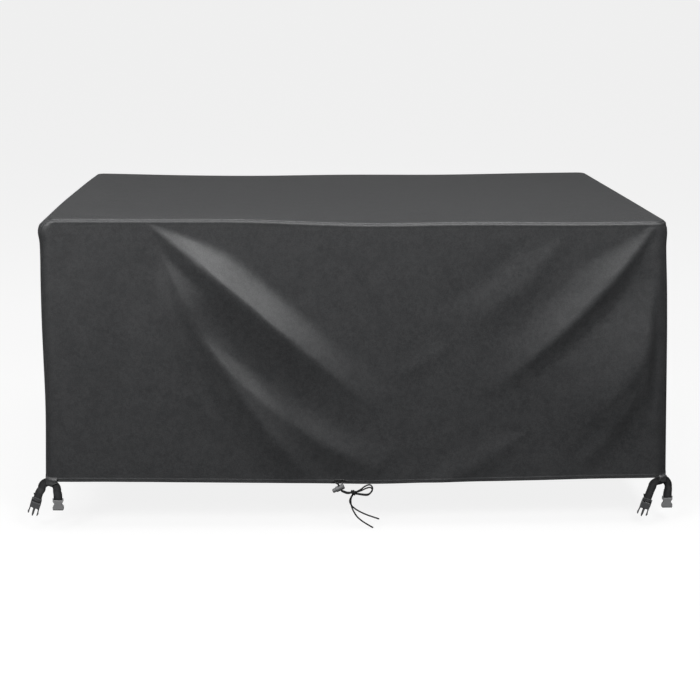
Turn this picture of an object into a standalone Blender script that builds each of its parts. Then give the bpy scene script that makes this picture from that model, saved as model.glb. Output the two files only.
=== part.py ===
"""Fitted rectangular patio furniture cover, empty and hanging in the folds of a real one.

Frame: metres, +Z up, +X to the right and -Y to the front. The origin is the middle of the
underside of the top panel, where the furniture would carry the cover.

The cloth is five panels, 0.3 mm apart along their seams: a top panel with a rolled edge and
four skirt panels. Each is an open grid shaped by one formula and thickened by Solidify. The
wall formula adds a flare towards the hem, the slack at each corner and the folds listed in
FOLDS. A webbing strap with the two halves of a side release buckle hangs at each corner,
under a sewn tab, and a drawcord leaves the front hem through a cord lock and is tied in a bow.
"""

import math
from dataclasses import dataclass

import bmesh
import bpy
import numpy as np
from mathutils import Matrix, Vector

NAME = "patio_furniture_cover"
MM = 0.001

# Cover
WIDTH = 1.80
DEPTH = 1.20
DROP = 0.768
CLOTH = 2.0 * MM
SEAM_GAP = 0.3 * MM
HEM_FLARE = 27.0 * MM
ROLL_RADIUS = 10.0 * MM
CORNER_RADIUS = 32.0 * MM
CORNER_SPREAD = 0.4
SEAM_ANGLE = math.radians(45.0)
CORNER_STEPS = 4
FALL_REACH = 0.12

# Corner straps
WEBBING_WIDTH = 25.0 * MM
WEBBING = 1.5 * MM
PIECE_GAP = 0.3 * MM
STRAP_TURN = 16.0 * MM
STRAP_MIDDLE = math.radians(46.5)
STRAP_OUTER_ANGLE = math.radians(15.0)
STRAP_BELOW_HEM = 4.0 * MM
STRAP_DROOP = {"inner": 2.0 * MM, "outer": 9.0 * MM}
TAB_CLOTH = 1.2 * MM
BAR_HALF = 1.2 * MM

# Side release buckles
PLATE = 3.0 * MM
FEMALE_BODY = 11.0 * MM
FEMALE_SOCKET = Vector((25.0, 6.0, 24.0)) * MM
FEMALE_LENGTH = 35.0 * MM
MALE_GRIP = 7.0 * MM
SLOT_HALF = 13.2 * MM

# Drawcord and cord lock
CORD = 4.5 * MM
CORD_STEP = 10.0 * MM
CORD_X = -58.0 * MM
STRAND_SIDE = 2.45 * MM
LOCK_SLOPE = math.radians(26.5)
LOCK_PLAY = 0.5 * MM
BUTTON_TRAVEL = 4.0 * MM
BARREL_PROFILE = (
    (0.0, 13.0), (6.6, 13.0), (8.5, 11.2), (8.5, -11.6), (7.6, -13.0), (6.5, -13.0), (6.5, 10.5), (0.0, 10.5),
)
BUTTON_PROFILE = ((0.0, 6.0), (6.2, 6.0), (6.2, -22.0), (4.8, -24.0), (0.0, -24.4))


@dataclass(frozen=True)
class Fold:
    """One ridge of a skirt panel, or a furrow where its height is negative.

    start, middle and end are (along, drop) on the panel, along to the viewer's right and
    drop downwards. right and left are the widths of its two flanks, rise and fade the shares
    of its length over which it widens and dies away, and crest is how round its top is.
    """

    start: tuple
    middle: tuple
    end: tuple
    height: float
    right: float
    left: float
    rise: float
    fade: float
    crest: float = 0.25


@dataclass(frozen=True)
class Panel:
    """A skirt panel: its side, its half length, its wall's distance out and its columns."""

    side: str
    half: float
    reach: float
    along: tuple
    out: tuple
    columns: int


@dataclass(frozen=True)
class Corner:
    """A corner of the hem.

    outer is the half of the buckle that hangs on its outer side, low is how far its strap
    hangs below the usual height in mm, spans are the strap's reach to its inner and to its
    outer leg in mm, tab the tab's two ends from the strap's middle in mm, and lean is how far
    its slack stands out sideways in mm at each of LEAN_DROPS.
    """

    name: str
    side: int
    face: int
    outer: str
    low: float
    spans: tuple
    tab: tuple
    lean: tuple


# How round a fold's foot is, and how much steeper its flank grows towards the crest.
FOOT = 0.12
STEEPEN = 1.5
FOLDS = {
    "front": (
        Fold((-0.620, 0.000), (-0.312, 0.246), (0.11, 0.60), 0.040, 0.085, 0.150, 0.40, 0.45, 0.08),
        Fold((-0.580, 0.065), (-0.390, 0.440), (-0.13, 0.77), 0.023, 0.072, 0.105, 0.26, 0.22, 0.13),
        Fold((-0.530, 0.240), (-0.255, 0.545), (0.09, 0.73), 0.015, 0.080, 0.080, 0.60, 0.22, 0.15),
        Fold((-0.560, 0.180), (-0.500, 0.430), (-0.36, 0.70), 0.006, 0.035, 0.050, 0.40, 0.30),
        Fold((0.530, 0.005), (0.360, 0.160), (0.12, 0.30), -0.003, 0.060, 0.070, 0.45, 0.50),
        Fold((0.610, 0.010), (0.480, 0.180), (0.26, 0.34), 0.007, 0.060, 0.080, 0.45, 0.45),
        Fold((0.893, -0.035), (0.655, 0.262), (0.33, 0.54), 0.022, 0.062, 0.100, 0.42, 0.50, 0.10),
        Fold((0.960, 0.020), (0.835, 0.400), (0.58, 0.66), 0.029, 0.150, 0.270, 0.60, 0.35, 0.12),
        Fold((0.870, 0.440), (0.765, 0.605), (0.66, 0.75), 0.007, 0.045, 0.050, 0.45, 0.25),
        Fold((0.540, 0.590), (0.370, 0.705), (0.18, 0.79), 0.006, 0.060, 0.070, 0.45, 0.20),
        Fold((-0.875, 0.120), (-0.848, 0.270), (-0.79, 0.50), 0.003, 0.035, 0.040, 0.40, 0.40),
    ),
    "back": (
        Fold((-0.800, 0.010), (-0.560, 0.300), (-0.22, 0.62), 0.018, 0.080, 0.120, 0.45, 0.45),
        Fold((0.780, 0.010), (0.600, 0.320), (0.30, 0.70), 0.016, 0.120, 0.080, 0.45, 0.35),
        Fold((-0.100, 0.360), (-0.060, 0.560), (0.02, 0.79), 0.008, 0.070, 0.080, 0.45, 0.10),
    ),
    "left": (
        Fold((-0.500, 0.010), (-0.360, 0.300), (-0.12, 0.64), 0.015, 0.070, 0.110, 0.45, 0.40),
        Fold((0.510, 0.010), (0.400, 0.300), (0.22, 0.72), 0.012, 0.100, 0.070, 0.45, 0.25),
    ),
    "right": (
        Fold((-0.500, 0.010), (-0.400, 0.280), (-0.20, 0.66), 0.015, 0.070, 0.100, 0.45, 0.35),
        Fold((0.490, 0.010), (0.330, 0.320), (0.10, 0.70), 0.012, 0.110, 0.070, 0.45, 0.30),
    ),
}

# Height of the cover's top edge and of its hem: (x or y along the side, fall in mm) below the
# level of the top's middle, and below DROP under it.
EDGE_FALL = {
    "front": (
        (-0.90, -10.0), (-0.60, -9.0), (-0.33, -8.0), (-0.11, 0.0), (0.0, 3.0), (0.32, 0.0),
        (0.70, 1.5), (0.90, -1.0),
    ),
    "back": ((-0.90, 0.0), (-0.65, 5.8), (-0.35, 8.3), (0.0, 4.0), (0.37, 3.6), (0.70, -2.0), (0.90, -5.0)),
    "left": ((-0.60, -10.0), (-0.15, -12.0), (0.10, -9.5), (0.30, -7.5), (0.47, -4.0), (0.60, 0.0)),
    "right": ((-0.60, -1.0), (-0.30, -2.5), (0.20, -4.0), (0.60, -5.0)),
}
HEM_FALL = {
    "front": (
        (-0.90, -0.5), (-0.60, 3.4), (-0.33, 8.2), (-0.18, 10.3), (-0.05, 13.5), (0.085, 14.9),
        (0.20, 12.8), (0.30, 10.5), (0.44, 10.0), (0.60, 6.8), (0.75, 5.2), (0.90, 4.0),
    ),
    "back": ((-0.90, 0.0), (0.0, 4.0), (0.90, 0.0)),
    "left": ((-0.60, -0.5), (0.0, 2.0), (0.60, 0.0)),
    "right": ((-0.60, 4.0), (0.0, 3.0), (0.60, 0.0)),
}
LEAN_DROPS = (0.003, 0.010, 0.020, 0.030, 0.070, 0.110, 0.170, 0.290, 0.410, 0.530, 0.760)

PANELS = (
    Panel("front", WIDTH / 2, DEPTH / 2, (1, 0), (0, -1), 38),
    Panel("right", DEPTH / 2, WIDTH / 2, (0, 1), (1, 0), 9),
    Panel("back", WIDTH / 2, DEPTH / 2, (-1, 0), (0, 1), 14),
    Panel("left", DEPTH / 2, WIDTH / 2, (0, -1), (-1, 0), 9),
)
# Drops of every skirt panel's rows, from below its rolled edge to its hem.
ROW_DROPS = (
    0.020, 0.031, 0.070, 0.110, 0.165, 0.225, 0.285, 0.345, 0.405, 0.465, 0.525, 0.585, 0.645,
    0.705, DROP,
)

BACK_LEAN = (0.0, 3.0, 6.0, 8.0, 6.5, 5.0, 3.5, 2.0, 1.0, 0.5, 0.0)
CORNERS = (
    Corner(
        "front_left", -1, -1, "male", -0.5, (31.0, 25.0), (-33.0, 8.0),
        (0.0, 10.0, 19.0, 22.0, 18.0, 16.5, 16.0, 13.5, 9.0, 4.5, 4.0),
    ),
    Corner(
        "front_right", 1, -1, "female", 9.0, (42.0, 20.0), (-22.0, 8.0),
        (0.0, 0.0, 3.0, 4.0, 2.5, 3.5, 6.0, 8.8, 9.8, 10.5, 12.0),
    ),
    Corner("back_right", 1, 1, "male", 0.0, (31.0, 25.0), (-33.0, 8.0), BACK_LEAN),
    Corner("back_left", -1, 1, "female", 5.0, (42.0, 20.0), (-22.0, 8.0), BACK_LEAN),
)


def smoothstep(value):
    """Return 0 below 0, 1 above 1 and an even S curve between."""
    value = np.clip(value, 0.0, 1.0)
    return value * value * (3.0 - 2.0 * value)


def smooth_path(points, step):
    """Return points a step apart on the smooth curve through the given points."""
    knots = np.asarray(points, dtype=float)
    first = 2.0 * knots[0] - knots[1]
    last = 2.0 * knots[-1] - knots[-2]
    padded = np.vstack((first, knots, last))
    dense = []
    for index in range(len(knots) - 1):
        before, here, there, after = padded[index:index + 4]
        for share in np.linspace(0.0, 1.0, 24, endpoint=False):
            slope = (there - before) * share
            bend = (2.0 * before - 5.0 * here + 4.0 * there - after) * share ** 2
            twist = (3.0 * here - before - 3.0 * there + after) * share ** 3
            dense.append(here + 0.5 * (slope + bend + twist))
    dense.append(knots[-1])
    dense = np.array(dense)
    lengths = np.linalg.norm(np.diff(dense[:, :3], axis=0), axis=1)
    travelled = np.concatenate(([0.0], np.cumsum(lengths)))
    count = max(2, int(round(travelled[-1] / step)) + 1)
    wanted = np.linspace(0.0, travelled[-1], count)
    return np.column_stack([np.interp(wanted, travelled, column) for column in dense.T])


def fold_path(fold):
    """Return a fold's line as a smooth row of points, and the share of its length at each."""
    start, middle, end = (np.array(point) for point in (fold.start, fold.middle, fold.end))
    control = 2.0 * middle - 0.5 * (start + end)
    share = np.linspace(0.0, 1.0, 25)[:, None]
    path = (1 - share) ** 2 * start + 2 * share * (1 - share) * control + share ** 2 * end
    return path, share[:, 0]


def fold_height(fold, along, drop):
    """Return how far one fold lifts each point of its panel off the flat wall."""
    path, shares = fold_path(fold)
    nearest = np.full(along.shape, np.inf)
    share = np.zeros(along.shape)
    side = np.zeros(along.shape)
    for index, (begin, step) in enumerate(zip(path[:-1], np.diff(path, axis=0))):
        length = np.hypot(*step)
        x, y = along - begin[0], drop - begin[1]
        part = np.clip((x * step[0] + y * step[1]) / length ** 2, 0.0, 1.0)
        distance = np.hypot(x - part * step[0], y - part * step[1])
        closer = distance < nearest
        nearest = np.where(closer, distance, nearest)
        share = np.where(closer, shares[index] + part * (shares[index + 1] - shares[index]), share)
        side = np.where(closer, (x * step[1] - y * step[0]) / length, side)
    grown = smoothstep(share / fold.rise)
    right = smoothstep(0.5 + side / 0.020)
    flank = (fold.left + (fold.right - fold.left) * right) * (0.08 + 0.92 * grown)
    ramp = 1.0 - np.sqrt((nearest / flank) ** 2 + fold.crest ** 2)
    profile = (0.5 * (ramp + np.sqrt(ramp ** 2 + FOOT ** 2))) ** STEEPEN
    return fold.height * grown * smoothstep((1.0 - share) / fold.fade) * profile


def folds_of(panel, along, drop):
    """Return the sum of a panel's folds, calm at its top seam and at its corners."""
    total = sum(fold_height(fold, along, drop) for fold in FOLDS[panel.side])
    calm_top = smoothstep((drop - 0.008) / 0.014)
    calm_ends = 1.0 - smoothstep((np.abs(along) - (panel.half - 0.048)) / 0.040)
    return total * calm_top * calm_ends


def corner_at(side, face):
    """Return the corner on the given side and face."""
    return next(corner for corner in CORNERS if (corner.side, corner.face) == (side, face))


def lean_of(panel, sign, drop, share):
    """Return how far the slack of a panel's corners stands out sideways.

    sign is the panel's end and share how far along the panel the point is, from -1 to 1. The
    front and the back reach to the corner's own lean, and a side goes from one to the other.
    """
    found = []
    for end in (-1, 1):
        x = end * panel.along[0] + panel.out[0]
        y = end * panel.along[1] + panel.out[1]
        found.append(np.interp(drop, LEAN_DROPS, np.array(corner_at(x, y).lean) * MM))
    low_end, high_end = found
    if panel.out[0] == 0:
        return np.where(sign < 0, low_end, high_end)
    return low_end + (high_end - low_end) * smoothstep(0.5 + 0.5 * share)


def fall_along(table, position):
    """Return a fall in metres from its table at each position along a side."""
    places, falls = zip(*table)
    return np.interp(position, places, falls) * MM


def rim_fall(falls, x, y):
    """Return a fall on or inside the cover's rim, blended from the tables of its four sides."""
    total = np.zeros_like(x)
    weights = np.zeros_like(x)
    rim_x = WIDTH / 2 - CLOTH - ROLL_RADIUS
    rim_y = DEPTH / 2 - CLOTH - ROLL_RADIUS
    for side, position, inward in (
        ("front", x, rim_y + y),
        ("back", x, rim_y - y),
        ("left", y, rim_x + x),
        ("right", y, rim_x - x),
    ):
        weight = np.exp(-np.maximum(inward, 0.0) / FALL_REACH)
        total = total + weight * fall_along(falls[side], position)
        weights = weights + weight
    return total / np.maximum(weights, 1.0)


def wall(panel, column, drop, inset, lift=0.0):
    """Return world points of a skirt panel.

    column runs from -2 to 2: up to 1 either way it is the straight part of the wall, and past
    1 the rounded corner as far as its seam. inset is what the rolled top edge takes off, and
    lift is the distance outward from the inner face.
    """
    flare = (1.0 - CORNER_SPREAD) * HEM_FLARE * drop / DROP
    sign = np.sign(column)
    share = np.clip(column, -1.0, 1.0)
    turn = np.clip(np.abs(column) - 1.0, 0.0, 1.0)
    lean = lean_of(panel, sign, drop, share)
    straight = panel.half - CLOTH - CORNER_RADIUS + flare
    centre = panel.reach - CLOTH - CORNER_RADIUS + flare
    if panel.out[0] == 0:
        straight = straight + lean
    else:
        centre = centre + lean
    run = share * straight
    radius = CORNER_RADIUS - inset + CORNER_SPREAD * HEM_FLARE * drop / DROP
    radius = radius + folds_of(panel, run + sign * turn * SEAM_ANGLE * CORNER_RADIUS, drop)
    angle = turn * (SEAM_ANGLE - 0.5 * SEAM_GAP / radius)
    radius = radius + lift
    spot = ground_point(panel, run + sign * radius * np.sin(angle), centre + radius * np.cos(angle))
    return np.stack((*spot, -drop - wall_fall(panel, column, drop)), axis=-1)


def ground_point(panel, along, out):
    """Return world x and y from the distances along a panel and out from the middle."""
    x = along * panel.along[0] + out * panel.out[0]
    y = along * panel.along[1] + out * panel.out[1]
    return x, y


def wall_fall(panel, column, drop):
    """Return how far a skirt panel hangs below its usual height, from its edge to its hem."""
    straight = panel.half - CLOTH - CORNER_RADIUS
    centre = panel.reach - CLOTH - CORNER_RADIUS
    rim = CORNER_RADIUS - ROLL_RADIUS * (1.0 - math.sin(SEAM_ANGLE))
    angle = np.clip(np.abs(column) - 1.0, 0.0, 1.0) * SEAM_ANGLE
    along = np.clip(column, -1.0, 1.0) * straight + np.sign(column) * rim * np.sin(angle)
    x, y = ground_point(panel, along, centre + rim * np.cos(angle))
    share = drop / DROP
    return rim_fall(EDGE_FALL, x, y) * (1.0 - share) + rim_fall(HEM_FALL, x, y) * share


def panel_points(panel):
    """Return the grid of a skirt panel's inner face, from its top seam to its hem."""
    first = SEAM_ANGLE + 0.5 * SEAM_GAP / ROLL_RADIUS
    roll = np.linspace(first, math.pi / 2, 4)
    drops = ROLL_RADIUS * (1.0 - np.cos(roll))
    insets = ROLL_RADIUS * (1.0 - np.sin(roll))
    drops = np.concatenate((drops, ROW_DROPS))
    insets = np.concatenate((insets, np.zeros(len(ROW_DROPS))))
    corner = np.linspace(1.0, 2.0, CORNER_STEPS + 1)[1:]
    columns = np.concatenate((-corner[::-1], np.linspace(-1.0, 1.0, panel.columns + 1), corner))
    column, drop = np.meshgrid(columns, drops)
    inset = np.repeat(insets[:, None], len(columns), axis=1)
    return wall(panel, column, drop, inset)


def top_points(columns, rows):
    """Return the grid of the top panel's inner face: flat, with a rolled edge all round."""
    last = SEAM_ANGLE - 0.5 * SEAM_GAP / ROLL_RADIUS
    roll = np.linspace(0.0, last, CORNER_STEPS - 1)
    flat = CORNER_RADIUS - ROLL_RADIUS
    rings = np.concatenate(([0.0, 0.5 * flat], flat + ROLL_RADIUS * np.sin(roll)))
    falls = np.concatenate(([0.0, 0.0], ROLL_RADIUS * (1.0 - np.cos(roll))))
    half_x = WIDTH / 2 - CLOTH - CORNER_RADIUS
    half_y = DEPTH / 2 - CLOTH - CORNER_RADIUS
    ends = np.arange(1, CORNER_STEPS + 1) + 1.0
    along_x = np.concatenate((-ends[::-1], np.linspace(-1.0, 1.0, columns + 1), ends))
    along_y = np.concatenate((-ends[::-1], np.linspace(-1.0, 1.0, rows + 1), ends))
    u, v = np.meshgrid(along_x, along_y)
    step_x = np.maximum(np.abs(u) - 1.0, 0.0)
    step_y = np.maximum(np.abs(v) - 1.0, 0.0)
    ring = np.maximum(step_x, step_y)
    share = np.minimum(step_x, step_y) / np.maximum(ring, 1.0)
    lean = np.where(step_x >= step_y, share * SEAM_ANGLE, math.pi / 2 - share * SEAM_ANGLE)
    radius = np.interp(ring, np.arange(len(rings)), rings)
    fall = np.interp(ring, np.arange(len(falls)), falls)
    x = np.sign(u) * (np.minimum(np.abs(u), 1.0) * half_x + radius * np.cos(lean))
    y = np.sign(v) * (np.minimum(np.abs(v), 1.0) * half_y + radius * np.sin(lean))
    return np.stack((x, y, -fall - rim_fall(EDGE_FALL, x, y)), axis=-1)


# Scene, collections and materials


def clear_scene():
    """Remove every object."""
    for item in list(bpy.data.objects):
        bpy.data.objects.remove(item)


def new_collection(name):
    """Return a new collection linked to the scene."""
    collection = bpy.data.collections.new(name)
    bpy.context.scene.collection.children.link(collection)
    return collection


def new_material(name, colour, roughness):
    """Return a plain Principled material."""
    material = bpy.data.materials.new(name)
    material.use_nodes = True
    shader = material.node_tree.nodes["Principled BSDF"]
    shader.inputs["Base Color"].default_value = (*colour, 1.0)
    shader.inputs["Roughness"].default_value = roughness
    shader.inputs["Metallic"].default_value = 0.0
    material.diffuse_color = (*colour, 1.0)
    return material


class Workshop:
    """The collections and materials that every piece is made with."""

    def __init__(self):
        self.parts = new_collection(NAME)
        self.cutters = new_collection("cutters")
        self.root = bpy.data.objects.new("cover_origin", None)
        self.parts.objects.link(self.root)
        self.cloth = new_material("coated_cloth", (0.036, 0.037, 0.039), 0.55)
        self.webbing = new_material("webbing", (0.020, 0.020, 0.021), 0.75)
        self.plastic = new_material("buckle_plastic", (0.290, 0.292, 0.296), 0.35)
        self.prongs = new_material("prong_plastic", (0.110, 0.112, 0.115), 0.35)
        self.lock = new_material("lock_plastic", (0.180, 0.182, 0.186), 0.30)
        self.cord = new_material("drawcord", (0.012, 0.012, 0.013), 0.80)

    def add(self, name, data, material, parent=None):
        """Link a new object of the cover and give it its material."""
        item = bpy.data.objects.new(name, data)
        self.parts.objects.link(item)
        item.parent = parent or self.root
        data.materials.clear()
        data.materials.append(material)
        return item

    def add_cutter(self, name, mesh, target, operation):
        """Cut a mesh out of a target, or join it on, with an exact Boolean."""
        cutter = bpy.data.objects.new(name, mesh)
        self.cutters.objects.link(cutter)
        cutter.parent = target.parent
        cutter.hide_render = True
        cutter.display_type = "WIRE"
        cut = target.modifiers.new(name, "BOOLEAN")
        cut.operation = operation
        cut.solver = "EXACT"
        cut.object = cutter
        return cutter

    def add_sheet(self, name, points, thickness, material, offset=1.0):
        """Add a grid shaped to the given points and thickened by Solidify."""
        rows, columns = points.shape[:2]
        grid = bmesh.new()
        bmesh.ops.create_grid(grid, x_segments=columns - 1, y_segments=rows - 1, size=1.0)
        for vertex in grid.verts:
            column = round((vertex.co.x + 1.0) / 2.0 * (columns - 1))
            row = round((vertex.co.y + 1.0) / 2.0 * (rows - 1))
            vertex.co = points[row, column]
        mesh = bpy.data.meshes.new(name)
        grid.to_mesh(mesh)
        grid.free()
        mesh.shade_smooth()
        mesh.set_sharp_from_angle(angle=math.radians(35.0))
        item = self.add(name, mesh, material)
        shell = item.modifiers.new("thickness", "SOLIDIFY")
        shell.thickness = thickness
        shell.offset = offset
        return item

    def add_tube(self, name, points):
        """Add a cord tube along the given points."""
        curve = bpy.data.curves.new(name, "CURVE")
        curve.dimensions = "3D"
        curve.bevel_depth = CORD / 2
        curve.bevel_resolution = 2
        curve.use_fill_caps = True
        spline = curve.splines.new("POLY")
        spline.points.add(len(points) - 1)
        for target, point in zip(spline.points, points):
            target.co = (*point[:3], 1.0)
        return self.add(name, curve, self.cord)


# Small solids


def outline_mesh(name, outlines, thickness):
    """Return a flat outline, with any holes, as a closed mesh standing in the XZ plane.

    The first outline is the rim and the others are holes. Points are (x, z), and the
    thickness lies along Y about the middle.
    """
    curve = bpy.data.curves.new(name, "CURVE")
    curve.dimensions = "2D"
    curve.fill_mode = "BOTH"
    curve.extrude = thickness / 2
    for outline in outlines:
        spline = curve.splines.new("POLY")
        spline.points.add(len(outline) - 1)
        spline.use_cyclic_u = True
        for target, (x, z) in zip(spline.points, outline):
            target.co = (x, z, 0.0, 1.0)
    holder = bpy.data.objects.new(name, curve)
    bpy.context.scene.collection.objects.link(holder)
    graph = bpy.context.evaluated_depsgraph_get()
    mesh = bpy.data.meshes.new_from_object(holder.evaluated_get(graph))
    bpy.data.objects.remove(holder)
    bpy.data.curves.remove(curve)
    solid = bmesh.new()
    solid.from_mesh(mesh)
    bmesh.ops.remove_doubles(solid, verts=solid.verts, dist=1e-6)
    bmesh.ops.transform(solid, matrix=Matrix.Rotation(math.pi / 2, 4, "X"), verts=solid.verts)
    bmesh.ops.recalc_face_normals(solid, faces=solid.faces)
    solid.to_mesh(mesh)
    solid.free()
    return mesh


def box_mesh(name, size, centre):
    """Return a box."""
    solid = bmesh.new()
    bmesh.ops.create_cube(solid, size=1.0)
    bmesh.ops.scale(solid, vec=size, verts=solid.verts)
    bmesh.ops.translate(solid, vec=centre, verts=solid.verts)
    mesh = bpy.data.meshes.new(name)
    solid.to_mesh(mesh)
    solid.free()
    return mesh


def both_sides(half_outline):
    """Return a closed outline from its right half, given from top to bottom."""
    left = [(-x, z) for x, z in reversed(half_outline) if x > 0]
    return list(half_outline) + left


def slot(low, high):
    """Return a webbing slot's outline between two heights."""
    return [(-SLOT_HALF, low), (SLOT_HALF, low), (SLOT_HALF, high), (-SLOT_HALF, high)]


def soften(item, width, segments=1):
    """Round an object's sharper edges."""
    bevel = item.modifiers.new("soft_edges", "BEVEL")
    bevel.width = width
    bevel.segments = segments
    bevel.limit_method = "ANGLE"
    bevel.angle_limit = math.radians(40.0)


# Corner straps and buckles


@dataclass(frozen=True)
class BarFrame:
    """Where a strap meets a buckle: the bar's middle, the way down and the way it faces."""

    middle: Vector
    down: Vector
    face: Vector

    def matrix(self):
        """Return the buckle's placement: X across, -Y out of its face, Z up the strap."""
        across = self.down.cross(self.face).normalized()
        rotation = Matrix((-across, -self.face, -self.down)).transposed()
        return Matrix.Translation(self.middle) @ rotation.to_4x4()

    def place(self, forward, up):
        """Return a world point from its distances in mm forward of the bar and above it."""
        return self.middle + self.face * (forward * MM) - self.down * (up * MM)


# Each leg's route from the hem's corner: side and face in mm from the corner's centre, height
# below the hem in mm and the way its face turns, in degrees from straight ahead to the side.
LEGS = {
    ("inner", "female"): ((6.2, 45.2, -30.0, 4.0), (5.0, 45.8, -39.0, 0.0), (5.0, 45.8, -49.5, 0.0)),
    ("inner", "male"): ((-8.6, 46.2, -32.0, 1.0), (-13.0, 46.8, -45.0, 0.0), (-17.0, 47.0, -57.5, 0.0)),
    ("outer", "female"): ((50.5, 24.0, -40.0, 6.0), (50.0, 24.0, -48.0, 0.0), (50.0, 24.0, -58.5, 0.0)),
    ("outer", "male"): ((62.6, 24.0, -40.0, 14.0), (67.8, 24.0, -55.0, 12.0)),
}
# Each strap end's turn through its buckle, in mm forward of the bar and above it.
BAR_TURN = {
    "female": (
        (3.1, 3.5), (3.1, 0.0), (2.7, -1.55), (1.55, -2.7), (0.0, -3.1), (-1.55, -2.7), (-2.7, -1.55),
        (-3.1, 0.0), (-3.1, 3.5),
    ),
    "male": (
        (-2.9, 10.0), (-2.9, 5.4), (-2.2, 4.1), (2.2, 2.1), (3.0, 0.9), (3.0, -0.9), (2.2, -2.1),
        (-2.2, -3.75), (-3.9, -4.1), (-5.2, -2.8), (-5.2, 1.0), (-5.2, 10.0),
    ),
}
TAIL_LENGTH = {"female": 20.0 * MM, "male": 11.0 * MM}
TAIL_SKEW = {"female": 0.0, "male": 5.0 * MM}
LAYERS_APART = WEBBING + 0.6 * MM


def corner_centre(corner):
    """Return the middle of the hem's rounded corner, as distances from the cover's middle."""
    inward = CLOTH + CORNER_RADIUS - (1.0 - CORNER_SPREAD) * HEM_FLARE
    return WIDTH / 2 - inward + corner.lean[-1] * MM, DEPTH / 2 - inward


def hem_radius():
    """Return the radius of the hem's rounded corner on its outer face."""
    return CORNER_RADIUS + CORNER_SPREAD * HEM_FLARE + CLOTH


def corner_point(corner, side, face, height):
    """Return a world point given from the corner's centre."""
    centre_x, centre_y = corner_centre(corner)
    height -= DROP + corner.low * MM
    return Vector((corner.side * (centre_x + side), corner.face * (centre_y + face), height))


def facing(corner, degrees):
    """Return the direction that a strap's face looks in."""
    angle = math.radians(degrees)
    return Vector((corner.side * math.sin(angle), corner.face * math.cos(angle), 0.0))


def arch_place(across):
    """Return side, face and angle on the strap's arch at a distance from its middle.

    A negative distance is on the inner half, which follows the hem's rounded corner. The outer
    half turns to face more to the front as it leaves the corner.
    """
    radius = hem_radius() + PIECE_GAP + WEBBING / 2
    start = STRAP_MIDDLE + min(across, 0.0) / radius
    side, face = radius * math.sin(start), radius * math.cos(start)
    if across <= 0.0:
        return side, face, start
    step = across / 12
    reach = (np.arange(12) + 0.5) * step
    angle = STRAP_MIDDLE + (STRAP_OUTER_ANGLE - STRAP_MIDDLE) * np.clip(reach / STRAP_TURN, 0.0, 1.0)
    return side + np.cos(angle).sum() * step, face - np.sin(angle).sum() * step, angle[-1]


def arch_rows(leg, span):
    """Return the half of the strap's arch over the corner that leads to one leg."""
    level = span - STRAP_TURN
    steps = [(level * 0.5, 0.0)]
    for turn in np.radians((0.0, 22.5, 45.0, 67.5, 90.0)):
        steps.append((level + STRAP_TURN * math.sin(turn), STRAP_TURN * (1.0 - math.cos(turn))))
    rows = []
    for across, below in steps:
        side, face, angle = arch_place(-across if leg == "inner" else across)
        below += STRAP_BELOW_HEM + STRAP_DROOP[leg] * across / span
        rows.append((side / MM, face / MM, -below / MM, math.degrees(angle)))
    return rows


def strap_rows(corner):
    """Return the strap's route over the corner, from its male end to its female end."""
    inner = "female" if corner.outer == "male" else "male"
    side, face, angle = arch_place(0.0)
    top = (side / MM, face / MM, -STRAP_BELOW_HEM / MM, math.degrees(angle))
    inner_span, outer_span = (span * MM for span in corner.spans)
    outer_half = arch_rows("outer", outer_span) + list(LEGS["outer", corner.outer])
    inner_half = arch_rows("inner", inner_span) + list(LEGS["inner", inner])
    rows = outer_half[::-1] + [top] + inner_half
    return rows if corner.outer == "male" else rows[::-1]


def strap_route(corner):
    """Return the strap's middle line, its width directions and the way its face looks."""
    rows = smooth_path(strap_rows(corner), 5.0)
    line = np.array([corner_point(corner, *(value * MM for value in row[:3])) for row in rows])
    faces = np.array([facing(corner, row[3]) for row in rows])
    width = np.cross(np.gradient(line, axis=0), faces)
    width /= np.linalg.norm(width, axis=1, keepdims=True)
    return line, width, faces


def bar_frame(tip, down, width, kind):
    """Return the frame of the buckle bar that a strap's end turns round."""
    face = Vector(width).cross(Vector(down)).normalized()
    if face.dot(Vector((0.0, tip[1], 0.0))) < 0:
        face = -face
    down = Vector(down).normalized()
    forward, up = BAR_TURN[kind][0]
    return BarFrame(Vector(tip) + down * (up * MM) - face * (forward * MM), down, face)


def strap_end(line, width, faces, bar, kind):
    """Return the middle and width rows of a strap's turn round a bar and of its loose end.

    The strap's last row is just above the bar. Its loose end goes back behind it.
    """
    rows = [(bar.place(*step), Vector(width[-1])) for step in BAR_TURN[kind][1:-1]]
    first = (BAR_TURN[kind][0][0] - BAR_TURN[kind][-1][0]) * MM
    travelled = 0.0
    for index in range(len(line) - 1, 0, -1):
        share = travelled / TAIL_LENGTH[kind]
        if share > 1.0:
            break
        apart = first * (1.0 - share) + LAYERS_APART * share
        skew = Vector((-TAIL_SKEW[kind] * share, 0.0, 0.0))
        rows.append((Vector(line[index]) - Vector(faces[index]) * apart + skew, Vector(width[index])))
        travelled += float(np.linalg.norm(line[index] - line[index - 1]))
    return rows


def add_strap(shop, corner):
    """Add one corner's strap and return the bar frames at its male and female ends."""
    line, width, faces = strap_route(corner)
    male_bar = bar_frame(line[0], line[0] - line[1], width[0], "male")
    female_bar = bar_frame(line[-1], line[-1] - line[-2], width[-1], "female")
    male = strap_end(line[::-1], width[::-1], faces[::-1], male_bar, "male")
    female = strap_end(line, width, faces, female_bar, "female")
    middle = [(Vector(point), Vector(across)) for point, across in zip(line, width)]
    half = WEBBING_WIDTH / 2
    rows = male[::-1] + middle + female
    points = np.array([[point - across * half, point + across * half] for point, across in rows])
    shop.add_sheet(f"strap_{corner.name}", points, WEBBING, shop.webbing, offset=0.0)
    return male_bar, female_bar


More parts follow.
